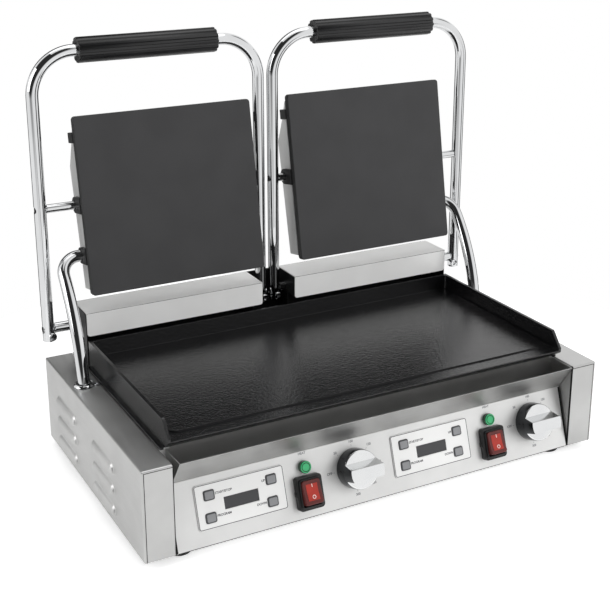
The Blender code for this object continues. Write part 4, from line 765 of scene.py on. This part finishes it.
def frameLine(width, height, corner, line, bottom, top):
    # a rounded frame round the origin, as a thin raised line
    outer = plaque(width, height, corner, 6)
    inner = plaque(width - 2 * line, height - 2 * line, corner - line, 6)
    shape = bmesh.new()
    rings = [[shape.verts.new((u, v, z)) for u, v in loop]
             for loop, z in ((outer, bottom), (outer, top), (inner, top), (inner, bottom))]
    for first, second in zip(rings, rings[1:] + rings[:1]):
        for index in range(len(first)):
            after = (index + 1) % len(first)
            shape.faces.new((first[index], first[after], second[after], second[index]))
    bmesh.ops.recalc_face_normals(shape, faces=shape.faces)
    return shape


def buttonCap(name):
    # a dark rim with a paler key that stands a little out of it
    wide, high, rim, proud = button["width"], button["height"], button["rim"], button["proud"]
    cap = prism(plaque(wide, high, button["corner"]), button["back"], proud, "z")
    key = plaque(wide - 2 * rim, high - 2 * rim, button["corner"] * 0.7)
    key = prism(key, proud - 0.0003, proud + 0.0003, "z")
    return fused(name, [softenEdges(objectFrom(cap, "cap", buttonRim), 0.0004),
                        softenEdges(objectFrom(key, "key", buttonRubber), 0.0002)])


for side in sides:
    x, y, inset = panelX[side], panel["middle"], panel["inset"]
    # a dark line just inside each panel's edge: painted shade of the panel's thickness
    edgeShade = frameLine(panel["width"] - 2 * inset, panel["height"] - 2 * inset, panel["corner"] - inset,
                       panel["line"], panel["face"] - panel["lineDepth"], panel["face"] + panel["lineProud"])
    stands(objectFrom(moved(edgeShade, fasciaPlace(x, y)), side + "PanelBorder", overlayInkAndEdgeShade), "base", "overlay")
    items = []
    for key, (shareX, shareY, label, align) in buttons.items():
        at = (x + shareX * panel["width"], y + shareY * panel["height"])
        reach = (button["width"] / 2 + button["wordGap"]) * (1 if align == "LEFT" else -1)
        items.append((label, button["wordHeight"], at[0] + reach, at[1] + button["wordRise"],
                      panel["face"], align))
        piece = buttonCap(side + "Button_" + key)
        piece.data.transform(fasciaPlace(*at))
        stands(piece, side + "_" + key, "grey_button", side + "_" + key + "_button")
    stands(words(items, side + "PanelWords", overlayInkAndEdgeShade), "base", "overlay")
print("timer panels made")

lamp = {"share": 0.1243, "slope": 0.0553, "radius": 0.0068, "body": 0.0050, "proud": 0.0062,
        "length": 0.0220, "groove": (0.0019, 0.0024)}
wide, tall, body, groove = lamp["radius"], lamp["proud"], lamp["body"], lamp["groove"]
# a flat lens with a shallow groove inside its rounded rim
profile = [(0, tall - 0.0002), (wide - groove[1] - 0.0002, tall - 0.0002), (wide - groove[1], tall - 0.0007),
           (wide - groove[0], tall - 0.0007), (wide - groove[0] + 0.0002, tall - 0.0001),
           (wide - 0.0009, tall - 0.0001), (wide - 0.0004, tall - 0.0004), (wide - 0.0001, tall - 0.0010),
           (wide, tall - 0.0018), (wide, gap), (body, gap), (body, -lamp["length"]), (0, -lamp["length"])]
for side in sides:
    at = fasciaPlace(clusterX[side] + lamp["share"] * base["width"], lamp["slope"])
    piece = turned(side + "HeatLamp", profile, Matrix.Identity(4), greenLens)
    # the groove and the sides take the darker green: painted shade
    piece.data.materials.append(greenLensShade)
    for polygon in piece.data.polygons:
        inGroove = wide - groove[1] < math.hypot(*polygon.center.xy) < wide - groove[0]
        if inGroove or polygon.normal.z < 0.55:
            polygon.material_index = 1
    piece.data.transform(at)
    stands(piece, "base", "green_lens", side + "_heat_lamp")

switch = {"share": 0.1249, "slope": 0.0282, "width": 0.0304, "height": 0.0365, "corner": 0.0040,
          "proud": 0.0095, "bodyWidth": 0.0250, "bodyHeight": 0.0330, "depth": 0.0210, "shoulder": 0.0022,
          "inset": 0.0026, "collarCorner": 0.0030, "wing": 0.0009, "wingLength": 0.0070,
          "wingRoot": 0.0020, "wingDrop": 0.0020}
rocker = {"width": 0.0216, "half": 0.0130, "pivot": 0.0055, "proud": 0.0085, "dish": 0.0012, "root": 0.0060,
          "corner": 0.0030, "tilt": math.radians(-10.5), "windowWidth": 0.0134, "windowHeight": 0.0176}
raised = switch["proud"] - rocker["pivot"]
swing = rocker["half"] / math.cos(rocker["tilt"]) + raised * math.tan(-rocker["tilt"])


def switchBezel(name):
    # a frame with a small wing on each side, a collar inside it, and the body with a well for the rocker
    wide, high, inset, wing = switch["width"], switch["height"], switch["inset"], switch["wingLength"] / 2
    shoulder = switch["proud"] - switch["shoulder"]
    outline = plaque(wide, high, switch["corner"], 8)
    bezel = objectFrom(prism(outline, gap, shoulder, "z"), name, blackPlastic)
    for way in (-1, 1):
        edge = way * wide / 2
        root, tip = edge - way * switch["wingRoot"], edge + way * switch["wing"]
        outline = [(root, -wing), (edge, -wing), (tip, -wing / 2), (tip, wing / 2), (edge, wing),
                   (root, wing)]
        outline = rounded(outline, [0, 0, 0.0010, 0.0010, 0, 0])
        carve(bezel, "UNION", prism(outline, gap, shoulder - switch["wingDrop"], "z"))
    softenEdges(bezel, 0.0010, 3)
    ring = plaque(wide - 2 * inset, high - 2 * inset, switch["collarCorner"], 8)
    ring = objectFrom(prism(ring, shoulder - 0.0030, switch["proud"], "z"), "ring", blackPlastic)
    carve(bezel, "UNION", shapeOf(softenEdges(ring, 0.0007, 3)))
    across, up = switch["bodyWidth"] / 2, switch["bodyHeight"] / 2
    carve(bezel, "UNION", block((-across, -up, -switch["depth"]), (across, up, gap + 0.0010)))
    floor = rocker["pivot"] - math.hypot(rocker["root"], rocker["root"]) - gap
    well = plaque(rocker["width"] + 2 * gap, 2 * (swing + gap), 0.0008, 2)
    carve(bezel, "DIFFERENCE", prism(well, floor, 0.02, "z"))
    return smooth(bezel, 30)


def rockerTop(y):
    return rocker["proud"] - rocker["dish"] * (1 - (abs(y) / rocker["half"]) ** 1.2)


def litRocker(name):
    # seen through a clear boot: a dark red rim, a bright window, and a line and a ring in white
    long, tall, dish, root = rocker["half"], rocker["proud"], rocker["dish"], rocker["root"]
    across = rocker["width"] / 2
    section = [(-long, tall), (-long, 0), (-root, -root), (root, -root), (long, 0), (long, tall),
               (long * 0.5, tall - dish * 0.75), (0, tall - dish), (-long * 0.5, tall - dish * 0.75)]
    body = objectFrom(prism(section, -across, across, "x"), "body", redBody)
    carve(body, "INTERSECT", prism(plaque(rocker["width"], 2 * long, rocker["corner"], 6), -0.02, 0.02, "z"))
    pieces = [softenEdges(body, 0.0010, 3, 40)]
    wide, high = rocker["windowWidth"] / 2, rocker["windowHeight"] / 2
    steps = [high * (index / 3 - 1) for index in range(7)]
    strip = [(y, rockerTop(y) - 0.0008) for y in steps] + [(y, rockerTop(y) + 0.00015) for y in steps[::-1]]
    pieces.append(smooth(objectFrom(prism(strip, -wide, wide, "x"), "window", redRocker), 30))
    line = block((-0.00035, -0.0018, 0), (0.00035, 0.0018, 0.0005))
    ring = revolved([(0.0014, 0), (0.0014, 0.0005), (0.0021, 0.0005), (0.0021, 0)], 32)
    for shape, y in ((line, 0.0070), (ring, -0.0052)):
        moved(shape, Matrix.Translation((0.0004, y, rockerTop(y) - 0.00005)))
        pieces.append(objectFrom(shape, "mark", whiteInk))
    return fused(name, pieces)


onPivot = Matrix.Translation((0, 0, rocker["pivot"])) @ Matrix.Rotation(rocker["tilt"], 4, "X")
for side in sides:
    at = fasciaPlace(clusterX[side] + switch["share"] * base["width"], switch["slope"])
    bezel = switchBezel(side + "SwitchBezel")
    bezel.data.transform(at)
    stands(bezel, "base", "black_plastic", side + "_switch_bezel")
    piece = litRocker(side + "Rocker")
    piece.data.transform(at @ onPivot)
    stands(piece, side + "_rocker", "red_rocker", side + "_switch_rocker")
print("lamps and switches made")

knob = {"share": 0.2298, "slope": 0.0400, "radius": 0.0224, "topRadius": 0.0205, "skirt": 0.0165,
        "top": 0.0310, "barLow": -0.0086, "barHigh": 0.0046, "rootLow": -0.0092, "rootHigh": 0.0090,
        "gap": 0.0005}


def knobRadius(height):
    share = (height - knob["gap"]) / (knob["top"] - knob["gap"])
    return knob["radius"] + (knob["topRadius"] - knob["radius"]) * share


def pointerBar():
    # what two flanks leave of the cone above the skirt, with one corner off the sloping flank at the pointer
    skirt, top, beyond = knob["skirt"], knob["top"], 0.03
    under = skirt - 0.0020
    cone = [(0, top), (knobRadius(top), top), (knobRadius(under), under), (0, under)]
    bar = objectFrom(revolved(cone, 96), "bar", chromeKnob)
    for way, edge, root in ((-1, knob["barLow"], knob["rootLow"]), (1, knob["barHigh"], knob["rootHigh"])):
        slope = (edge - root) / (top - skirt)
        flank = [(edge + slope * 0.01, top + 0.01), (root - slope * 0.003, skirt - 0.003),
                 (way * beyond, skirt - 0.003), (way * beyond, top + 0.01)]
        carve(bar, "DIFFERENCE", prism(flank, -beyond, beyond, "x"))
    tip = math.sqrt(knobRadius(top) ** 2 - knob["barHigh"] ** 2)
    heel = math.sqrt(knobRadius(skirt) ** 2 - knob["rootHigh"] ** 2)
    corner = Vector((tip * 0.42, knob["barHigh"], top))
    edges = [Vector((tip + 0.0004, knob["barHigh"] - 0.0002, top - 0.0026)) - corner,
             Vector((heel, knob["rootHigh"], skirt)) - corner]
    normal = edges[0].cross(edges[1]).normalized()
    if normal.z < 0:
        normal = -normal
    facet = [corner, *(corner + edge * 3 for edge in edges)]
    carve(bar, "DIFFERENCE", solidBetween(facet, [spot + normal * 0.02 for spot in facet]))
    return softenEdges(bar, 0.0005, 2, 20)


skirt = knob["skirt"]
wide = knobRadius(skirt)
profile = [(0, skirt), (wide - 0.0018, skirt), (wide - 0.0008, skirt - 0.0001),
           (wide - 0.0002, skirt - 0.0005), (knobRadius(skirt - 0.0012), skirt - 0.0012),
           (knobRadius(0.0030), 0.0030), (knob["radius"] - 0.0003, knob["gap"]), (0, knob["gap"])]
for side in sides:
    disc = turned("disc", profile, Matrix.Identity(4), chromeKnob, 72, 40)
    piece = fused(side + "Knob", [disc, pointerBar()])
    # the knob's sides take the darker copy of the chrome: painted shade, the dark that they mirror
    piece.data.materials.append(chromeSkirtShade)
    for polygon in piece.data.polygons:
        onCone = math.hypot(*polygon.center.xy) > knobRadius(polygon.center.z) - 0.0008
        if onCone and abs(polygon.normal.z) < 0.5:
            polygon.material_index = 1
    piece.data.transform(fasciaPlace(clusterX[side] + knob["share"] * base["width"], knob["slope"]))
    stands(piece, side + "_knob", "knob_chrome", side + "_thermostat_knob")
print("knobs made")

# the dial: a tick and a number every 45 degrees round each knob, from OFF on its left clockwise to 300
dial = {"labels": ["OFF", "50", "100", "150", "200", "250", "300"], "start": 180, "pitch": 45,
        "ring": 0.0292, "longWord": 0.0016, "tick": 0.0244, "tickLength": 0.0016, "tickWidth": 0.0004,
        "height": 0.0038, "thickness": 0.00004}
heatWord = {"height": 0.0036, "above": 0.0143}
for side in sides:
    x, y = clusterX[side] + knob["share"] * base["width"], knob["slope"]
    items, ticks = [], []
    for index, label in enumerate(dial["labels"]):
        turn = math.radians(dial["start"] - dial["pitch"] * index)
        reach = dial["ring"] + dial["longWord"] * abs(math.cos(turn)) * (len(label) > 2)
        items.append((label, dial["height"], x + reach * math.cos(turn), y + reach * math.sin(turn), 0,
                      "CENTER"))
        tick = block((dial["tick"], -dial["tickWidth"] / 2, 0),
                     (dial["tick"] + dial["tickLength"], dial["tickWidth"] / 2, dial["thickness"]))
        ticks.append(moved(tick, fasciaPlace(x, y) @ Matrix.Rotation(turn, 4, "Z")))
    items.append(("HEAT", heatWord["height"], clusterX[side] + lamp["share"] * base["width"],
                  lamp["slope"] + heatWord["above"], 0, "CENTER"))
    marks = [words(items, "words", dialInk), objectFrom(merged(ticks), "ticks", dialInk)]
    stands(fused(side + "DialWords", marks), "base", "overlay")
print("words made")


# repeated small parts: one tree puts a copy of a part at each point

def copiesAtPoints():
    tree, given = newTree("copiesAtPoints", {"Part": "Object", "Finish": "Material"})
    source = addNode(tree, "GeometryNodeObjectInfo", {"Object": given.outputs["Part"]},
                     transform_space="ORIGINAL")
    copies = addNode(tree, "GeometryNodeInstanceOnPoints", {"Points": given.outputs["Geometry"],
                                                            "Instance": source.outputs["Geometry"]})
    return endTree(tree, given, copies)


copyTree = copiesAtPoints()


def copied(name, shape, points, material, angle=35):
    part = smooth(objectFrom(shape, "part"), angle)
    mesh = bpy.data.meshes.new(name)
    mesh.from_pydata(points, [], [])
    piece = grown(linked(name, mesh), copyTree, {"Part": part, "Finish": material})
    bpy.data.objects.remove(part, do_unlink=True)
    return piece


louvre = {"length": 0.0678, "height": 0.0095, "bulge": 0.0038, "rows": 3, "columns": 2, "top": 0.0708,
          "pitch": 0.0246, "columnPitch": 0.1252, "middle": 0.0202, "skin": 0.00012, "flare": 0.0022,
          "inside": 0.0009, "endShare": 0.309}


def louvreSkin():
    # a pressed hood: a quarter ellipse across, round ends, and a soft flare where it leaves the sheet
    high, deep = louvre["height"] + louvre["skin"], louvre["bulge"] + louvre["skin"]
    rise = []
    for step in range(9):
        turn = math.pi / 2 * step / 10
        rise.append((high * math.sin(turn), deep * math.cos(turn)))
    foot = rise[-1]
    for step in range(1, 7):
        share = step / 6
        rise.append((foot[0] + louvre["flare"] * share, foot[1] * (1 - share) ** 2.2))
    rise[-1] = (rise[-1][0], -0.0002)
    # spokes fan out round each end: where each starts along y, and its reach along y and z
    start = louvre["length"] / 2 - high * (1 - louvre["endShare"])
    spread = (high * (1 - louvre["endShare"]) + louvre["skin"]) / high
    turns = [math.pi / 2 * step / 12 for step in range(13)]
    spokes = [(start, math.cos(turn) * spread, math.sin(turn)) for turn in turns]
    spokes += [(-start, -math.cos(turn) * spread, math.sin(turn)) for turn in turns[::-1]]
    shape = bmesh.new()
    outer, inner = [], []
    for centre, reachY, reachZ in spokes:
        outer.append([shape.verts.new((x, centre + r * reachY, r * reachZ)) for r, x in rise])
        inner.append([shape.verts.new((max(x - louvre["inside"], -0.0006), centre + r * 0.97 * reachY,
                                       r * 0.93 * reachZ)) for r, x in rise])
    last = len(rise) - 1
    quads = []
    for index in range(len(spokes) - 1):
        for grid in (outer, inner):
            first, second = grid[index], grid[index + 1]
            quads += [(first[row], second[row], second[row + 1], first[row + 1]) for row in range(last)]
        for row in (0, last):
            quads.append((outer[index][row], outer[index + 1][row],
                          inner[index + 1][row], inner[index][row]))
    for end in (0, -1):
        quads += [(outer[end][row], outer[end][row + 1], inner[end][row + 1], inner[end][row])
                  for row in range(last)]
    for quad in quads:
        shape.faces.new(quad)
    bmesh.ops.remove_doubles(shape, verts=shape.verts, dist=0.00001)
    bmesh.ops.recalc_face_normals(shape, faces=shape.faces)
    return shape


for side, sign in sides.items():
    points = []
    for column in range(louvre["columns"]):
        across = louvre["middle"] + (column - (louvre["columns"] - 1) / 2) * louvre["columnPitch"] + baseBack
        for row in range(louvre["rows"]):
            up = louvre["top"] - louvre["height"] - row * louvre["pitch"] + baseUp
            points.append((sign * base["width"] / 2, across, up))
    shape = moved(louvreSkin(), Matrix.Rotation(0 if sign > 0 else math.pi, 4, "Z"))
    stands(copied(side + "Louvres", shape, points, steelY, 50), "base", "stainless")


def socketScrew(size):
    # a button head with a hexagon socket, its axis along z, on a boss that reaches back by its root
    radius, height = size["radius"], size["height"]
    profile = [(0, height), (radius * 0.62, height), (radius * 0.88, height * 0.9),
               (radius * 0.98, height * 0.6), (radius, height * 0.3), (radius, -size["root"]),
               (0, -size["root"])]
    head = objectFrom(revolved(profile, 36), "head")
    socket = prism(circle((0, 0), size["socket"], 6), height - size["depth"], height + 0.001, "z")
    carve(head, "DIFFERENCE", socket)
    return shapeOf(head)


barBolt = {"radius": 0.0050, "height": 0.0022, "socket": 0.0027, "depth": 0.0020, "root": 0.0060,
           "below": 0.0085, "front": 0.0062, "aside": 0.0028}
for side, sign in sides.items():
    points = [(sign * x + barBolt["aside"] * way, hingeAt.y - barBolt["front"], hingeAt.z - barBolt["below"])
              for x, way in ((handle["inner"], 1), (handle["outer"], -sign))]
    shape = moved(socketScrew(barBolt), Matrix.Rotation(math.pi / 2, 4, "X"))
    stands(copied(side + "BarBolts", shape, points, chrome), side + "_frame", "chrome")

deckScrew = {"radius": 0.0034, "height": 0.0014, "socket": 0.0015, "depth": 0.0009, "root": 0.0,
             "x": 0.2558, "y": 0.056}
points = [(sign * deckScrew["x"], deckScrew["y"] + baseBack, base["deck"] + baseUp)
          for sign in sides.values()]
stands(copied("deckScrews", socketScrew(deckScrew), points, chrome), "base", "stainless")
print("repeated parts made")


# black cheeks close the outer ends of the hinge covers and stand on the deck

cheek = {"x": 0.2479, "thickness": 0.0010, "front": 0.1062, "back": 0.1500, "top": 0.1686, "foot": 0.1024}
for side, sign in sides.items():
    low, high = span(sign, cheek["x"], cheek["x"] + cheek["thickness"])
    outline = rectangle((cheek["front"], cheek["foot"]), (cheek["back"], cheek["top"]))
    outline = rounded(shifted(outline), [0.006, 0, 0.004, 0.004])
    plate = objectFrom(prism(outline, low, high, "x"), side + "HingeCheek", blackSteel)
    drill(plate, hingeAt.yz, shaft["radius"] + gap, (low - 0.01, high + 0.01))
    stands(softenEdges(plate, 0.0002), "base", "black_steel")


# springs, feet and the cord's inlet

spring = {"wire": 0.0015, "clearance": 0.0006, "turns": 5, "pitch": 0.0044, "start": 0.0600, "leg": 0.0105,
          "stepsPerTurn": 24}
for side, sign in sides.items():
    radius = shaft["radius"] + spring["clearance"] + spring["wire"]
    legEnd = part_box(side + "_hinge_spring")[1].y
    points = [(sign * spring["start"], hingeAt.y - spring["leg"], hingeAt.z - radius)]
    for index in range(spring["turns"] * spring["stepsPerTurn"] + 13):
        share = index / spring["stepsPerTurn"]
        turn = 2 * math.pi * share - math.pi / 2
        along = spring["start"] + spring["pitch"] * share
        points.append((sign * along, hingeAt.y + radius * math.cos(turn),
                       hingeAt.z + radius * math.sin(turn)))
    points.append((points[-1][0], legEnd, hingeAt.z + radius))
    wire = rod(side + "Spring", points, spring["wire"], springSteel, steps=12)
    stands(wire, "base", "spring", side + "_hinge_spring")

rubberFoot = {"radius": 0.0150, "height": 0.0100, "taper": 0.0020, "x": 0.2390, "y": 0.1350, "hole": 0.0040}
wide, tall, taper, hole = (rubberFoot[key] for key in ("radius", "height", "taper", "hole"))
# from the top down: a short straight side, a taper, a rounded sole with a screw hole
profile = [(0, -gap), (wide - 0.0005, -gap), (wide, -gap - 0.0005), (wide, -taper),
           (wide - taper * 0.8, -tall + 0.0006), (wide - taper, -tall + 0.0002),
           (wide - taper - 0.0006, -tall), (hole, -tall), (hole - 0.0004, -tall + 0.0020),
           (0, -tall + 0.0020)]
for side, sign in sides.items():
    for end, way in {"front": -1, "rear": 1}.items():
        place = Matrix.Translation((sign * rubberFoot["x"], way * rubberFoot["y"] + baseBack, baseUp))
        stands(turned(side + end + "Foot", profile, place, footRubber), "base", "rubber",
               end + "_" + side + "_foot")

gland = {"x": 0.2100, "z": 0.0250, "bore": 0.0042, "radius": 0.0110, "flange": 0.0030, "neck": 0.0080,
         "nose": 0.0090, "reach": 0.0140, "tail": 0.0120}
bore, wide, nose, reach, flat = (gland[key] for key in ("bore", "radius", "nose", "reach", "flange"))
profile = [(bore, reach), (nose - 0.0015, reach), (nose - 0.0005, reach - 0.0004), (nose, reach - 0.0015),
           (nose, flat + 0.0006), (wide - 0.0006, flat + gap), (wide, flat - 0.0003), (wide, gap),
           (gland["neck"], gap), (gland["neck"], -gland["tail"]), (bore, -gland["tail"])]
place = (Matrix.Translation((gland["x"], base["halfDepth"] + baseBack, gland["z"] + baseUp))
         @ Matrix.Rotation(-math.pi / 2, 4, "X"))
stands(turned("cableGland", profile, place, blackPlastic, 40), "base", "black_plastic", "cable_gland")
print("springs, feet and inlet made")


# sheet metal and the other parts that keep the imported model's shape: finishes, and bevels that catch light

# the fascia's and the hinge covers' paler finishes are painted light
kept = {"base_pan": (steelX, 0.0003), "front_fascia": (steelFascia, 0.0005), "rear_panel": (steelX, 0.0003),
        # the tray's darker finish is painted shade
        "rear_guard": (blackSteel, 0.0003), "drip_tray": (steelTray, 0.0004),
        "lower_element": (elementSteel, 0)}
keptOnSides = {"side_box": (steelY, 0.0004), "hinge_cover": (steelCover, 0.0004),
               "hinge_bracket": (blackSteel, 0.0003), "upper_element": (elementSteel, 0),
               "timer_panel": (overlayFilm, 0.0002), "timer_display": (displayGlass, 0),
               "thermostat_body": (innerPaint, 0.0004)}
for side in sides:
    kept.update({side + "_" + name: finish for name, finish in keptOnSides.items()})
for name, (material, edge) in kept.items():
    piece = nodes[name]
    piece.data.materials.clear()
    piece.data.materials.append(material)
    if edge:
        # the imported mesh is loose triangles, which a bevel would open
        weld = piece.modifiers.new("joined", "WELD")
        weld.merge_threshold = 0.00001
        addBevel(piece, edge)
print("kept nodes dressed:", len(kept))


# painted shade where sheets meet, in gaps too narrow to model: dark strips in the folded seam on each front
# post, the posts' inner corners, the fascia's ends and the fold along each hinge cover, and a painted shadow
# line along the fascia's foot

seam = {"inset": 0.0022, "width": 0.0008, "depth": 0.0005, "corner": 0.0030, "cornerWidth": 0.0001}
fasciaEnd = {"x": 0.2510, "width": 0.0020, "low": 0.0005, "high": 0.0714, "proud": 0.00006}
fasciaFoot = {"halfWidth": 0.2490, "low": 0.0001, "high": 0.0007, "proud": 0.00008}
stripDepth = 0.0001
fold = {"inner": 0.0227, "outer": 0.2478, "y": 0.1049, "z": 0.1688, "depth": 0.0005, "height": 0.0004}
front = baseBack - base["halfDepth"]
top = baseUp + base["deck"]
seamTop = top - seam["inset"]
creaseY, creaseZ = fold["y"] + baseBack, fold["z"] + baseUp
strips = []
for sign in sides.values():
    outside, inside = base["width"] / 2 - seam["inset"], base["boxInside"]
    for ends, back, bottom, up in (
            (span(sign, outside, outside - seam["width"]), seam["depth"], baseUp, seamTop),
            (span(sign, outside, inside), seam["depth"], seamTop - seam["width"], seamTop),
            (span(sign, inside, inside - seam["cornerWidth"]), seam["corner"], baseUp, top)):
        strips.append(block((ends[0], front, bottom), (ends[1], front + back, up)))
    low, high = span(sign, fasciaEnd["x"], fasciaEnd["x"] - fasciaEnd["width"])
    strip = block((low, fasciaEnd["low"], -stripDepth), (high, fasciaEnd["high"], fasciaEnd["proud"]))
    strips.append(moved(strip, onFascia))
    low, high = span(sign, fold["inner"], fold["outer"])
    strips.append(block((low, creaseY, creaseZ), (high, creaseY + fold["depth"], creaseZ + fold["height"])))
reach = fasciaFoot["halfWidth"]
strips.append(moved(block((-reach, fasciaFoot["low"], -stripDepth),
                          (reach, fasciaFoot["high"], fasciaFoot["proud"])), onFascia))
# the strips paint the shade and the shadow line listed above
stands(objectFrom(merged(strips), "sheetGaps", darkHole), "base", "black_steel")
print("gaps between sheets made")


# floor, light and camera

scene = bpy.context.scene
scene.view_settings.view_transform = "Standard"


def showsWhite(tree):
    # 1 for the rays that see the background: the camera's, and those that gloss and glass send on
    rays = addNode(tree, "ShaderNodeLightPath")
    direct = addNode(tree, "ShaderNodeMath",
                     {0: rays.outputs["Is Camera Ray"], 1: rays.outputs["Is Glossy Ray"]},
                     operation="MAXIMUM")
    every = addNode(tree, "ShaderNodeMath", {0: direct, 1: rays.outputs["Is Transmission Ray"]},
                    operation="MAXIMUM")
    return rays, every


studio = {"floorTone": "#F4F4F4", "floorRadius": 0.64, "floorGlow": 0.50, "floorGloss": 0.24,
          "ambient": 0.46}
floorMaterial = bpy.data.materials.new("paleFloor")
floorMaterial.use_nodes = True
tree = floorMaterial.node_tree
rays, white = showsWhite(tree)
glow = addNode(tree, "ShaderNodeMapRange", {"Value": white, "To Max": studio["floorGloss"]})
direct = addNode(tree, "ShaderNodeMapRange", {"Value": rays.outputs["Is Camera Ray"],
                                              "To Max": studio["floorGlow"] - studio["floorGloss"]})
total = addNode(tree, "ShaderNodeMath", {0: glow, 1: direct}, operation="ADD")
feed(tree.nodes["Principled BSDF"], {
    "Base Color": linear(studio["floorTone"]), "Roughness": 1.0, "Specular IOR Level": 0.0,
    "Emission Color": linear("#FFFFFF"), "Emission Strength": total})
floor = objectFrom(prism(circle((0, 0), studio["floorRadius"], 96), -0.02, 0, "z"), "floor", floorMaterial)
floor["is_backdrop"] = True

# the studio is white all round, but metal also sees its dark side behind the camera and the flags beyond the
# table: azimuth and elevation in degrees, radii where the zone is full and where it ends, and its brightness
darkZones = {"behindCamera": (-40, 36, 40, 56, 0.03), "overTheBack": (184, 24, 22, 28, 0.05),
             "rightGap": (95, 38, 6, 16, 0.25), "flagLeftBack": (-160, -14, 10, 22, 0.06),
             "flagRightBack": (114, -14, 14, 28, 0.05), "flagRightFront": (44, -16, 6, 12, 0.04),
             "flagFront": (-14, -17, 3, 7, 0.45)}
world = bpy.data.worlds.new("studio")
scene.world = world
world.use_nodes = True
tree = world.node_tree
rays, white = showsWhite(tree)
direction = addNode(tree, "ShaderNodeTexCoord").outputs["Generated"]
brightness = rays.outputs["Is Glossy Ray"]
for azimuth, elevation, full, end, level in darkZones.values():
    turn, rise = math.radians(azimuth), math.radians(elevation)
    towards = (math.sin(turn) * math.cos(rise), -math.cos(turn) * math.cos(rise), math.sin(rise))
    near = addNode(tree, "ShaderNodeVectorMath", {0: direction, 1: towards}, operation="DOT_PRODUCT")
    zone = addNode(tree, "ShaderNodeMapRange", {
        "Value": near.outputs["Value"], "From Min": math.cos(math.radians(end)),
        "From Max": math.cos(math.radians(full)), "To Min": 1.0, "To Max": level},
        interpolation_type="SMOOTHSTEP")
    brightness = addNode(tree, "ShaderNodeMath", {0: brightness, 1: zone}, operation="MULTIPLY")
others = addNode(tree, "ShaderNodeMath", {0: 1.0, 1: rays.outputs["Is Glossy Ray"]}, operation="SUBTRACT")
shade = addNode(tree, "ShaderNodeMath", {0: others, 1: brightness}, operation="ADD")
strength = addNode(tree, "ShaderNodeMapRange", {"Value": white, "To Min": studio["ambient"], "To Max": 1.0})
feed(tree.nodes["Background"], {"Color": shade, "Strength": strength})

# each lamp's place, width and watts; all face a point above the lower plate
lamps = {"keyFrontRight": ((1.35, -1.7, 0.95), 1.3, 34.0), "sideLeft": ((-1.9, 0.0, 1.0), 1.2, 12.0),
         "topSoft": ((0.0, 0.1, 2.0), 1.6, 7.0)}
aim = Vector((0, 0, 0.2))
for name, (place, width, power) in lamps.items():
    light = bpy.data.lights.new(name, "AREA")
    light.size = width
    light.energy = power
    holder = linked(name, light)
    holder.location = place
    holder.visible_glossy = name != "keyFrontRight"   # bright metal would mirror this lamp's square
    holder.rotation_euler = (aim - Vector(place)).to_track_quat("-Z", "Y").to_euler()

view = {"at": (-0.6394, -1.1579, 0.6891), "azimuth": math.radians(-28.116), "down": math.radians(18.094),
        "lens": 71.6, "sensor": 36, "shift": -0.1}
camera = bpy.data.cameras.new("camera")
camera.lens = view["lens"]
camera.sensor_width = view["sensor"]
camera.shift_y = view["shift"]
holder = linked("camera", camera)
holder.location = view["at"]
level = math.cos(view["down"])
ahead = (-math.sin(view["azimuth"]) * level, math.cos(view["azimuth"]) * level, -math.sin(view["down"]))
holder.rotation_euler = Vector(ahead).to_track_quat("-Z", "Y").to_euler()
scene.camera = holder

low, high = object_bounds()
